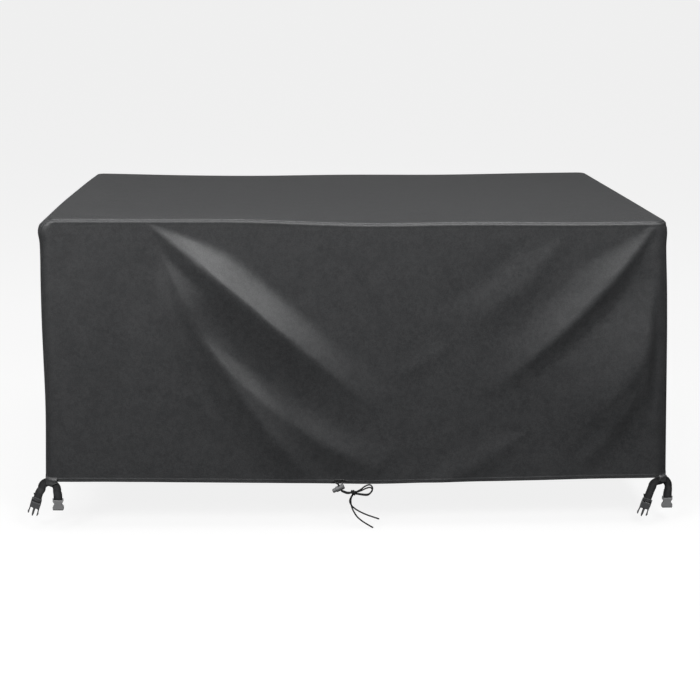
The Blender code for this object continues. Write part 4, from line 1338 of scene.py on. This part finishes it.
# Rows of a leg below its arch: side, face and height from the corner in mm, and angle in degrees.
LEGS = {
    (Leg.INNER, Half.FEMALE): (
        (6.2, 45.2, -30.0, 4.0), (5.0, 45.8, -39.0, 0.0), (5.0, 45.8, -49.5, 0.0),
    ),
    (Leg.INNER, Half.MALE): (
        (-8.6, 46.2, -32.0, 1.0), (-13.0, 46.8, -45.0, 0.0), (-17.0, 47.0, -57.5, 0.0),
    ),
    (Leg.OUTER, Half.FEMALE): (
        (50.5, 24.0, -40.0, 6.0), (50.0, 24.0, -48.0, 0.0), (50.0, 24.0, -58.5, 0.0),
    ),
    (Leg.OUTER, Half.MALE): ((62.6, 24.0, -40.0, 14.0), (67.8, 24.0, -55.0, 12.0)),
}
# The strap's turn round a buckle's bar, in mm: out of the strap's face and up its leg.
BAR_TURN = {
    Half.FEMALE: (
        (3.1, 3.5), (3.1, 0.0), (2.7, -1.55), (1.55, -2.7), (0.0, -3.1), (-1.55, -2.7),
        (-2.7, -1.55),
        (-3.1, 0.0), (-3.1, 3.5),
    ),
    Half.MALE: (
        (-2.9, 10.0), (-2.9, 5.4), (-2.2, 4.1), (2.2, 2.1), (3.0, 0.9), (3.0, -0.9), (2.2, -2.1),
        (-2.2, -3.75), (-3.9, -4.1), (-5.2, -2.8), (-5.2, 1.0), (-5.2, 10.0),
    ),
}
TAIL_LENGTH = {Half.FEMALE: 20.0 * MM, Half.MALE: 11.0 * MM}
TAIL_SKEW = {Half.FEMALE: 0.0, Half.MALE: 5.0 * MM}


@dataclass(frozen=True)
class CornerStrap:
    """A webbing strap over a corner of the hem, its two turns through the buckles and its tab.

    turn is the radius of the arch, middle and outer_angle where on the hem's round corner the
    strap's middle lies and how its outer leg faces, and end_to_mouth how far a socket's mouth
    is below the strap's end. tab_high is the tab's height down its face, and tab_clear what it
    stands clear of the strap at its ends.
    """

    drape: Drape
    corner: Corner
    width: float = 25.0 * MM
    thick: float = 1.5 * MM
    gap: float = 0.3 * MM
    turn: float = 16.0 * MM
    middle: float = math.radians(46.5)
    outer_angle: float = math.radians(15.0)
    below_hem: float = 4.0 * MM
    tab_cloth: float = 1.2 * MM
    tab_high: float = 24.0 * MM
    tab_clear: float = 1.4 * MM
    end_to_mouth: float = 38.5 * MM

    def droop(self, leg: Leg) -> float:
        """Return how far a leg's half of the arch sinks at its end."""
        return {Leg.INNER: 2.0 * MM, Leg.OUTER: 9.0 * MM}[leg]

    def hem_radius(self) -> float:
        """Return the radius of the hem's rounded corner on its outer face."""
        return self.drape.corner + self.drape.spread * self.drape.flare + self.drape.cloth

    def point(self, side: np.ndarray, face: np.ndarray, height: np.ndarray) -> np.ndarray:
        """Return world points given from the corner's centre."""
        drape, corner = self.drape, self.corner
        inward = drape.cloth + drape.corner - (1.0 - drape.spread) * drape.flare
        x = corner.side * (drape.width / 2 - inward + corner.lean[-1] * MM + side)
        y = corner.face * (drape.depth / 2 - inward + face)
        return np.stack(np.broadcast_arrays(x, y, height - drape.drop - corner.low * MM), axis=-1)

    def arch(self, across: float) -> tuple[float, float, float]:
        """Return side, face and angle on the strap's arch.

        The inner half follows the hem's rounded corner. The outer half turns to face more to
        the front as it leaves the corner, in short steps.

        Args:
            across: the distance from the arch's middle, less than 0 on the inner half.

        Returns:
            The distances to the side and to the face from the corner's centre, and the angle
            that the strap faces.
        """
        radius = self.hem_radius() + self.gap + self.thick / 2
        start = self.middle + min(across, 0.0) / radius
        side, face = radius * math.sin(start), radius * math.cos(start)
        if across <= 0.0:
            return side, face, start
        steps = 12
        step = across / steps
        reach = (np.arange(steps) + 0.5) * step
        turned = np.clip(reach / self.turn, 0.0, 1.0)
        angle = self.middle + (self.outer_angle - self.middle) * turned
        return side + np.cos(angle).sum() * step, face - np.sin(angle).sum() * step, angle[-1]

    def half_rows(self, leg: Leg, half: Half) -> list:
        """Return the rows from the arch's middle down one leg.

        Args:
            leg: the leg.
            half: the buckle half at its end.

        Returns:
            Side, face, height and angle of each row, in mm and degrees.
        """
        span = self.corner.spans[0 if leg is Leg.INNER else 1] * MM
        level = span - self.turn
        steps = [(level * 0.5, 0.0)]
        for angle in np.radians((0.0, 22.5, 45.0, 67.5, 90.0)):
            steps.append((level + self.turn * math.sin(angle), self.turn * (1.0 - math.cos(angle))))
        rows = []
        for across, below in steps:
            side, face, angle = self.arch(-across if leg is Leg.INNER else across)
            below += self.below_hem + self.droop(leg) * across / span
            rows.append((side / MM, face / MM, -below / MM, math.degrees(angle)))
        return rows + list(LEGS[leg, half])

    def route(self) -> tuple[np.ndarray, np.ndarray, np.ndarray]:
        """Return the strap's middle line, its width directions and the way its face looks."""
        outer = self.corner.outer
        inner = Half.FEMALE if outer is Half.MALE else Half.MALE
        side, face, angle = self.arch(0.0)
        top = (side / MM, face / MM, -self.below_hem / MM, math.degrees(angle))
        rows = self.half_rows(Leg.OUTER, outer)[::-1] + [top] + self.half_rows(Leg.INNER, inner)
        rows = smooth_path(rows if outer is Half.MALE else rows[::-1], 5.0)
        line = self.point(rows[:, 0] * MM, rows[:, 1] * MM, rows[:, 2] * MM)
        angle = np.radians(rows[:, 3])
        faces = np.stack((self.corner.side * np.sin(angle), self.corner.face * np.cos(angle),
                          np.zeros(len(rows))), axis=-1)
        return line, unit(np.cross(np.gradient(line, axis=0), faces)), faces

    def end(self, line: np.ndarray, width: np.ndarray, faces: np.ndarray, half: Half) -> tuple:
        """Return the strap's turn through a buckle and its loose end.

        Args:
            line: the strap's middle line, which ends at the buckle.
            width: its width directions.
            faces: the way its face looks.
            half: the buckle half.

        Returns:
            The points and the width directions.
        """
        down = unit(line[-1] - line[-2])
        face = unit(np.cross(width[-1], down))
        face = face if face[1] * line[-1][1] > 0 else -face
        turn = np.array(BAR_TURN[half]) * MM
        middle = line[-1] + down * turn[0, 1] - face * turn[0, 0]
        bend = middle + face * turn[1:-1, :1] - down * turn[1:-1, 1:]
        first = turn[0, 0] - turn[-1, 0]
        back = line[::-1][:-1]
        gone = travelled(line[::-1])[:-1]
        share = (gone / TAIL_LENGTH[half])[:, None]
        kept = share[:, 0] <= 1.0
        apart = first * (1.0 - share) + (self.thick + 0.6 * MM) * share
        skew = np.array((-TAIL_SKEW[half], 0.0, 0.0)) * share
        loose = (back - faces[::-1][:-1] * apart + skew)[kept]
        points = np.concatenate((bend, loose))
        widths = np.concatenate((np.tile(width[-1], (len(bend), 1)), width[::-1][:-1][kept]))
        return points, widths

    def strap(self) -> Patch:
        """Return the strap: a flat rounded profile carried along its whole route."""
        line, width, faces = self.route()
        male, male_width = self.end(line[::-1], width[::-1], faces[::-1], Half.MALE)
        female, female_width = self.end(line, width, faces, Half.FEMALE)
        points = np.concatenate((male[::-1], line, female))
        widths = np.concatenate((male_width[::-1], width, female_width))
        both = respaced(np.hstack((points, widths)), 1.3 * MM)
        path, side = both[:, :3], unit(both[:, 3:])
        face = unit(np.cross(side, np.gradient(path, axis=0)))
        return swept(path, side, face, rounded_bar(self.width / 2, self.thick / 2, 0.7 * MM))

    def tab(self) -> tuple[Patch, np.ndarray]:
        """Return the sewn tab, which lies on the hem's corner and over the strap.

        Each column of its grid is a smooth curve through five knots: two on the hem, one over
        the strap's upper edge, and two that hang in front of the strap.

        Returns:
            The closed sheet, and the grid of its outer face.
        """
        columns, down = 31, 19
        base = self.hem_radius() + self.gap
        over = self.thick / 2 + self.gap
        inner, outer = self.corner.tab
        # Heights over the hem's edge: on the hem, over the strap's edge, in front of the strap.
        on_hem, on_hem_low, over_edge, hanging = 13.0 * MM, 10.8 * MM, 8.9 * MM, -2.0 * MM
        foot_near, foot_far = -4.0 * MM, -13.0 * MM
        rows = []
        for share in np.linspace(0.0, 1.0, columns):
            across = (inner + (outer - inner) * share) * MM
            sewn = self.middle + across / base
            side, face, angle = self.arch(across)
            clear = over + self.tab_clear * smoothstep(abs(across) / self.turn)
            side, face = side + clear * math.sin(angle), face + clear * math.cos(angle)
            droop = self.droop(Leg.OUTER) * max(across, 0.0) / (self.corner.spans[1] * MM)
            foot = foot_near + (foot_far - foot_near) * smoothstep(share / 0.5) - 0.5 * droop
            high = base * math.sin(sewn), base * math.cos(sewn)
            rows.append([(*high, on_hem), (*high, on_hem_low), (side, face, over_edge),
                         (side, face, hanging), (side, face, foot)])
        rows = np.array(rows)
        knots = np.array([0.0, 2.2, 4.6, 15.5, 24.0]) * MM
        places = np.linspace(0.0, self.tab_high, down)
        grid = through(places, knots, rows.transpose(1, 0, 2).reshape(len(knots), -1))
        grid = grid.reshape(down, columns, 3)
        inner_face = self.point(grid[..., 0], grid[..., 1], grid[..., 2])
        away = unit(np.cross(np.gradient(inner_face, axis=0), np.gradient(inner_face, axis=1)))
        outward = np.array((self.corner.side, self.corner.face, 0.0))
        away = away * np.sign((away * outward).sum(-1).mean())
        u, v = np.meshgrid(np.linspace(inner, outer, columns) * MM, places)
        one, other = np.sin((0.9 * u + 0.5 * v) / MM), np.sin((0.7 * v - 0.35 * u) / MM)
        edge = np.minimum(np.minimum(u - u.min(), u.max() - u), v.max() - v) / (1.5 * MM)
        inside = smoothstep(edge)
        crumple = 0.45 * MM * (0.5 + 0.5 * one * other)
        lift = self.tab_cloth * (0.55 + 0.45 * inside) + crumple * inside
        outer_face = inner_face + away * lift[..., None]
        flip = self.corner.side * self.corner.face > 0
        return shell(outer_face, inner_face, np.stack((u, v), axis=-1), flip=flip), outer_face

    def socket_finish(self) -> bpy.types.Material:
        """Return the finish of the socket half, with painted shade at its mouth below its strap's
        end.
        """
        leg = Leg.INNER if self.corner.outer is Half.MALE else Leg.OUTER
        end = LEGS[leg, Half.FEMALE][-1][2] * MM - self.drape.drop - self.corner.low * MM
        return MouldedPlastic("buckle_plastic", (0.27, 0.272, 0.276), (0.42, 0.42, 0.425),
                              mouth=end - self.end_to_mouth).make()

    def make(self, sewing: Sewing) -> None:
        """Build the strap and its tab, and dress the two buckle halves.

        Args:
            sewing: the materials.
        """
        name = self.corner.name
        strap = sewing.add(f"webbing_{name}", self.strap(), sewing.webbing, "webbing",
                           [f"strap_{name}"])
        patch, grid = self.tab()
        tab = sewing.add(f"tab_{name}", patch, sewing.tab, "coated_cloth", [f"corner_tab_{name}"])
        out = np.array((self.corner.side, self.corner.face, 0.0)) / math.sqrt(2.0)
        sewn = (grid[3:17, 2], grid[16, 3:28], grid[15:2:-1, 28], grid[2, 27:1:-1])
        edge = respaced(np.concatenate(sewn), 0.6 * MM)
        rows = Stitch(3.4 * MM, 2.6 * MM).along(edge, np.tile(out, (len(edge), 1)))
        thread = sewing.add(f"tab_stitching_{name}", rows, sewing.thread, "coated_cloth")
        span = (self.corner.tab[1] - self.corner.tab[0]) * MM
        sewing.dress(f"buckle_female_{name}", self.socket_finish())
        sewing.dress(f"buckle_male_{name}", sewing.prongs)


# Drawcord, bow and cord lock


CORD_X = -58.0 * MM
# Routes in mm from the hem's lower edge at CORD_X: right, down and forward of the hem.
LEAD_IN = {
    Strand.A: ((-18.0, -9.5, 2.8), (-12.0, -6.5, 4.9), (-6.5, -3.8, 7.2)),
    Strand.B: ((3.6, -9.5, 3.4), (0.6, -7.0, 9.8), (-2.4, -4.2, 13.6)),
}
LEAD_OUT = {
    Strand.A: ((12.0, 19.6, 7.4), (18.0, 22.6, 5.2), (26.0, 25.8, 3.4), (34.0, 26.0, 3.2)),
    Strand.B: ((12.0, 21.0, 12.2), (18.0, 24.6, 10.0), (26.0, 27.8, 8.2), (34.0, 27.0, 8.0)),
}
LOOP = {
    Strand.A: (
        (54.0, 23.4, 3.2), (66.0, 17.0, 3.2), (77.0, 8.0, 3.4), (88.0, 2.8, 3.8), (96.0, 4.0, 3.8),
        (100.6, 12.0, 3.4), (99.0, 21.0, 3.2), (92.0, 30.0, 3.2), (80.0, 32.6, 3.2),
        (54.0, 29.6, 3.2),
    ),
    Strand.B: (
        (54.0, 23.4, 8.0), (67.0, 19.0, 8.2), (80.0, 12.4, 8.4), (91.0, 9.0, 8.6),
        (98.0, 12.0, 8.4),
        (99.6, 19.0, 8.2), (95.0, 26.0, 8.0), (87.0, 33.0, 8.0), (76.0, 33.2, 8.0),
        (54.0, 29.8, 8.0),
    ),
}
TAIL = {
    Strand.A: (
        (40.6, 35.4, 3.2), (36.0, 44.0, 3.2), (33.6, 54.0, 3.2), (38.0, 66.0, 3.2),
        (50.0, 78.0, 3.6),
        (66.0, 88.0, 4.0), (84.0, 96.6, 4.2), (103.0, 104.0, 4.2), (122.0, 111.0, 4.2),
    ),
    Strand.B: (
        (40.6, 35.4, 8.0), (37.2, 44.0, 8.0), (36.6, 54.0, 8.0), (39.0, 69.0, 8.0),
        (45.4, 85.0, 7.6),
        (56.0, 102.0, 7.2), (70.0, 115.0, 7.2), (86.0, 126.0, 7.6), (104.0, 137.0, 8.2),
    ),
}


@dataclass(frozen=True)
class Drawcord:
    """The two strands of the drawcord, their bow knot and the cord lock that they run through.

    strand_side is how far a strand lies from the lock's middle, slope how the lock leans, and
    lock and knot their middles in mm, as the routes give them. mouth_x, mouth_long, mouth_high
    and mouth_up are the middle, half length, half height and height above the hem's edge of
    the mouth from which the cord comes, drawn as a dark lens of painted shade, rim the radius
    of its bunched rim, and bore how far the strands run straight either way from the lock's
    middle.
    """

    drape: Drape
    diameter: float = 4.5 * MM
    strand_side: float = 2.45 * MM
    slope: float = math.radians(26.5)
    lock: tuple[float, float, float] = (4.0, 9.0, 10.4)
    knot: tuple[float, float, float] = (44.0, 26.4, 5.6)
    mouth_x: float = -53.0 * MM
    mouth_long: float = 23.0 * MM
    mouth_high: float = 4.6 * MM
    mouth_up: float = 8.0 * MM
    rim: float = 1.1 * MM
    bore: float = 11.0 * MM
    lengths: dict = field(default_factory=lambda: {Strand.A: 0.345, Strand.B: 0.340})

    def hem(self, x: np.ndarray) -> np.ndarray:
        """Return the hem's outer face at places along the front."""
        drape = self.drape
        panel = drape.panels()[0]
        straight = panel.half - drape.cloth - drape.corner + (1.0 - drape.spread) * drape.flare
        x = np.atleast_1d(np.asarray(x, dtype=float))
        return drape.wall(panel, x / straight, np.full(x.shape, drape.drop), 0.0, drape.cloth)

    def place(self, rows: Sequence[Sequence[float]]) -> np.ndarray:
        """Return world points of the drawcord from their places beside the hem, in mm."""
        rows = np.asarray(rows, dtype=float) * MM
        hem = self.hem(CORD_X + rows[:, 0])
        level = self.hem(CORD_X)[0, 2]
        return np.stack((hem[:, 0], hem[:, 1] - rows[:, 2], level - rows[:, 1]), axis=-1)

    def lock_axes(self) -> tuple[np.ndarray, np.ndarray, np.ndarray]:
        """Return the lock's middle, the way the cords run through it and the way they lie apart."""
        across = np.array((math.sin(self.slope), 0.0, -math.cos(self.slope)))
        barrel = np.array((math.cos(self.slope), 0.0, math.sin(self.slope)))
        return self.place([self.lock])[0], across, np.cross(barrel, across)

    def strand(self, strand: Strand) -> np.ndarray:
        """Return a strand's whole line: hem, lock, knot, loop, knot again and loose tail.

        Args:
            strand: the strand.

        Returns:
            Points 1.6 mm apart along it.
        """
        middle, across, apart = self.lock_axes()
        side = self.strand_side if strand is Strand.A else -self.strand_side
        reach = np.linspace(-self.bore, self.bore, 5)[:, None]
        deep = 3.6 if strand is Strand.A else 6.8
        points = np.concatenate((
            self.place(LEAD_IN[strand]), middle + across * reach + apart * side,
            self.place(LEAD_OUT[strand]), self.place([(44.0, 24.8, deep)]),
            self.place(LOOP[strand]), self.place([(45.5, 29.4, deep)]), self.place(TAIL[strand]),
        ))
        return smooth_path(points, 1.6 * MM)

    def wrap(self) -> np.ndarray:
        """Return the knot's wrap: two turns round the throat of the bow, its ends tucked in.

        The path is a helix along x: x = pitch times turns, and its radius falls to a third of
        itself at the two ends.

        Returns:
            The path's points.
        """
        turns, pitch, deep, high = 1.2, 5.3 * MM, 6.2 * MM, 6.4 * MM
        turn = np.linspace(-turns, turns, 130)
        middle = self.place([self.knot])[0]
        tuck = 1.0 - 0.66 * smoothstep((np.abs(turn) - 0.85) / 0.35)
        angle = TURN * turn + 0.6
        spot = pitch * turn, deep * tuck * np.cos(angle), high * tuck * np.sin(angle)
        return middle + np.stack(spot, axis=-1)

    def shade_lens_and_rim(self) -> tuple[Patch, Patch]:
        """Return a dark lens of painted shade where both strands leave the hem, and its bunched
        rim.

        The painted shade is a lens on the hem's face: its half height is mouth_high times the root
        of 1 - u squared at the share u of its half length, and the rim is a lumpy tube on its edge.

        Returns:
            The lens of painted shade and the rim.
        """
        drape = self.drape
        panel = drape.panels()[0]
        u, v = np.meshgrid(np.linspace(-1.0, 1.0, 41), np.linspace(-1.0, 1.0, 11))
        high = self.mouth_high * np.sqrt(np.maximum(1.0 - u * u, 0.004))
        column = (self.mouth_x + self.mouth_long * u) / panel.half
        face, out = drape.on_skirt(panel, column, drape.drop - self.mouth_up + high * v)
        flat = np.stack((u, v), axis=-1) * 10 * MM
        lens = shell(face + out * (0.5 * MM), face + out * (0.1 * MM), flat)
        turn = np.linspace(0.0, TURN, 121)
        column = (self.mouth_x + self.mouth_long * np.cos(turn)) / panel.half
        drop = drape.drop - self.mouth_up + self.mouth_high * np.sin(turn)
        edge, out = drape.on_skirt(panel, column, drop)
        lump = 1.0 + 0.35 * np.sin(9.0 * turn + 0.8) * np.sin(5.0 * turn)
        along = unit(np.gradient(edge, axis=0))
        outline = round_outline(1.0, 8)[None] * (self.rim * lump)[:, None, None]
        return lens, swept(edge + out * (0.5 * MM), np.cross(along, out), out, outline)

    def make(self, sewing: Sewing) -> None:
        """Args:
            sewing: the materials.
        """
        mouth, rim = self.shade_lens_and_rim()
        # Painted shade: a dark lens in the cord's finish stands for the shadowed mouth of the hem.
        sewing.add("cord_mouth_painted_shade", mouth, sewing.cord, "coated_cloth")
        sewing.add("cord_opening_rim", rim, sewing.cloth, "coated_cloth")
        knot = sewing.add("bow_knot_wrap", tube(self.wrap(), self.diameter / 2), sewing.cord,
                          "drawcord", ["bow_knot"], sharp=80.0)
        for strand in Strand:
            line = self.strand(strand)
            name = strand.value
            nodes = [f"drawcord_lead_{name}", f"bow_loop_{name}", f"drawcord_tail_{name}"]
            item = sewing.add(f"drawcord_{name}", tube(line, self.diameter / 2), sewing.cord,
                              "drawcord", nodes, sharp=80.0)
            log.info("drawcord_%s is %.4f m long", name, travelled(line)[-1])
        sewing.dress("cord_lock_barrel", sewing.lock)
        sewing.dress("cord_lock_button", sewing.lock)


# Camera and studio


@dataclass(frozen=True)
class ViewCamera:
    """The camera, at the place and angle from which the cover is seen."""

    position: tuple[float, float, float] = (-0.216, -4.694, 0.620)
    yaw: float = math.radians(2.67)
    pitch: float = math.radians(13.67)
    roll: float = math.radians(0.34)
    lens: float = 73.8
    sensor: float = 36.0

    def make(self) -> None:
        """Put the camera in the scene."""
        ahead = np.array((math.sin(self.yaw) * math.cos(self.pitch),
                          math.cos(self.yaw) * math.cos(self.pitch), -math.sin(self.pitch)))
        right = np.array((math.cos(self.yaw), -math.sin(self.yaw), 0.0))
        up = np.cross(right, ahead)
        right, up = (right * math.cos(self.roll) + up * math.sin(self.roll),
                     up * math.cos(self.roll) - right * math.sin(self.roll))
        data = bpy.data.cameras.new("view_camera")
        data.lens, data.sensor_width = self.lens, self.sensor
        item = bpy.data.objects.new("view_camera", data)
        bpy.context.scene.collection.objects.link(item)
        turned = Matrix(np.column_stack((right, up, -ahead)).tolist()).to_4x4()
        item.matrix_world = Matrix.Translation(self.position) @ turned
        bpy.context.scene.camera = item


@dataclass(frozen=True)
class SoftBox:
    """A rectangular soft light."""

    name: str
    place: tuple[float, float, float]
    target: tuple[float, float, float]
    size: tuple[float, float]
    power: float

    def make(self) -> None:
        """Hang the light and turn it to its target."""
        data = bpy.data.lights.new(self.name, "AREA")
        data.shape = "RECTANGLE"
        data.size, data.size_y = self.size
        data.energy = self.power
        item = bpy.data.objects.new(self.name, data)
        bpy.context.scene.collection.objects.link(item)
        way = np.array(self.target) - np.array(self.place)
        back = unit(-way)
        right = unit(np.cross((0.0, 1.0, 0.0) if abs(back[2]) > 0.95 else (0.0, 0.0, 1.0), back))
        turned = Matrix(np.column_stack((right, np.cross(back, right), back)).tolist()).to_4x4()
        item.matrix_world = Matrix.Translation(self.place) @ turned


@dataclass(frozen=True)
class Studio:
    """A plain pale floor that curves up into a backdrop all round, and plain soft light.

    The floor is level as far as floor_flat and ends at floor_radius, backdrop higher, and glows
    by glow. The surroundings shine by sky_light between the two heights of sky_range.
    """

    floor_flat: float = 30.0
    floor_radius: float = 60.0
    backdrop: float = 30.0
    glow: float = 0.86
    sky_range: tuple[float, float] = (-0.4, 0.5)
    sky_light: tuple[float, float] = (0.10, 0.50)
    lights: tuple[SoftBox, ...] = (
        SoftBox("top_light", (0.0, -0.8, 4.6), (0.0, -0.3, -0.2), (5.2, 2.8), 164.0),
        SoftBox("front_light", (0.0, -2.9, 4.4), (0.0, -0.5, -0.3), (5.2, 2.2), 26.0),
        SoftBox("left_light", (-3.1, -4.2, 2.5), (0.0, -0.6, -0.4), (2.0, 1.8), 158.0),
        SoftBox("fold_light", (1.3, -3.5, 2.4), (-0.35, -0.6, -0.25), (1.0, 1.0), 68.0),
    )

    def floor(self, level: float) -> Patch:
        """Return the floor: a flat disc whose rim turns up by a quarter ellipse.

        Args:
            level: the floor's height.

        Returns:
            Rings round a first fan of triangles.
        """
        bend = np.linspace(0.0, 0.5 * math.pi, 13)
        outer = self.floor_flat + (self.floor_radius - self.floor_flat) * np.sin(bend)
        radius = np.concatenate(((0.5,), outer))
        height = level + np.concatenate(((0.0,), self.backdrop * (1.0 - np.cos(bend))))
        turn = np.linspace(0.0, TURN, 65)
        points = np.stack((radius[:, None] * np.cos(turn), radius[:, None] * np.sin(turn),
                           np.repeat(height[:, None], len(turn), axis=1)), axis=-1)
        middle = np.array([(0.0, 0.0, level)])
        rings = quads_of(len(radius), len(turn)).reshape(-1, 4) + 1
        wheel = [(0, int(start) + 1, int(start) + 2) for start in range(len(turn) - 1)]
        points = np.concatenate((middle, points.reshape(-1, 3)))
        return Patch(points, wheel + rings.tolist(), np.zeros((0, 2)))

    def make(self, level: float) -> None:
        """Lay the floor at a height and hang the lights.

        Args:
            level: the floor's height.
        """
        patch = self.floor(level)
        mesh = bpy.data.meshes.new("floor")
        mesh.from_pydata(patch.points.tolist(), [], patch.faces)
        mesh.shade_smooth()
        floor = bpy.data.objects.new("floor", mesh)
        bpy.context.scene.collection.objects.link(floor)
        recipe = Recipe("pale_floor")
        recipe.set(Base_Color=(0.14, 0.14, 0.14, 1.0), Roughness=0.95)
        recipe.set(Emission_Color=(1.0, 1.0, 1.0, 1.0), Emission_Strength=self.glow)
        mesh.materials.append(recipe.material)
        floor.visible_diffuse = floor.visible_glossy = floor.visible_shadow = False
        for light in self.lights:
            light.make()
        self.sky()

    def sky(self) -> None:
        """Fill the surroundings with soft light, paler above than below."""
        world = bpy.data.worlds.new("studio")
        bpy.context.scene.world = world
        world.use_nodes = True
        tree = world.node_tree
        place = tree.nodes.new("ShaderNodeTexCoord")
        split = tree.nodes.new("ShaderNodeSeparateXYZ")
        ramp = tree.nodes.new("ShaderNodeMapRange")
        for key, value in zip(("From Min", "From Max", "To Min", "To Max"),
                              self.sky_range + self.sky_light):
            ramp.inputs[key].default_value = value
        tree.links.new(place.outputs["Generated"], split.inputs[0])
        tree.links.new(split.outputs["Z"], ramp.inputs["Value"])
        tree.links.new(ramp.outputs[0], tree.nodes["Background"].inputs["Strength"])


def main() -> None:
    """Build every sub-assembly in order."""
    logging.basicConfig(level=logging.INFO, format="%(message)s")
    ViewCamera().make()
    drape = Drape()
    sewing = Sewing(
        cloth=CoatedCloth().make(),
        # The tab's finish is a lighter copy of the cover cloth: painted light that makes the tab
        # look lit.
        tab=CoatedCloth("tab_cloth", (0.075, 0.076, 0.078), (0.125, 0.126, 0.128)).make(),
        webbing=Webbing().make(),
        cord=BraidedCord().make(),
        thread=SewingThread().make(),
        prongs=MouldedPlastic("prong_plastic", (0.085, 0.087, 0.090), (0.26, 0.26, 0.265)).make(),
        lock=MouldedPlastic("lock_plastic", (0.16, 0.162, 0.166), (0.32, 0.32, 0.325), 0.30).make(),
    )
    Drawcord(drape).make(sewing)
    cover = Cover(drape)
    cover.make_top(sewing)
    for panel in drape.panels():
        cover.make_skirt(sewing, panel)
    for corner in CORNERS:
        CornerStrap(drape, corner).make(sewing)
    bpy.context.scene.view_settings.view_transform = "Standard"
    Studio().make(CAD_BOX[0].z - 2 * MM)


if __name__ == "__main__":
    main()
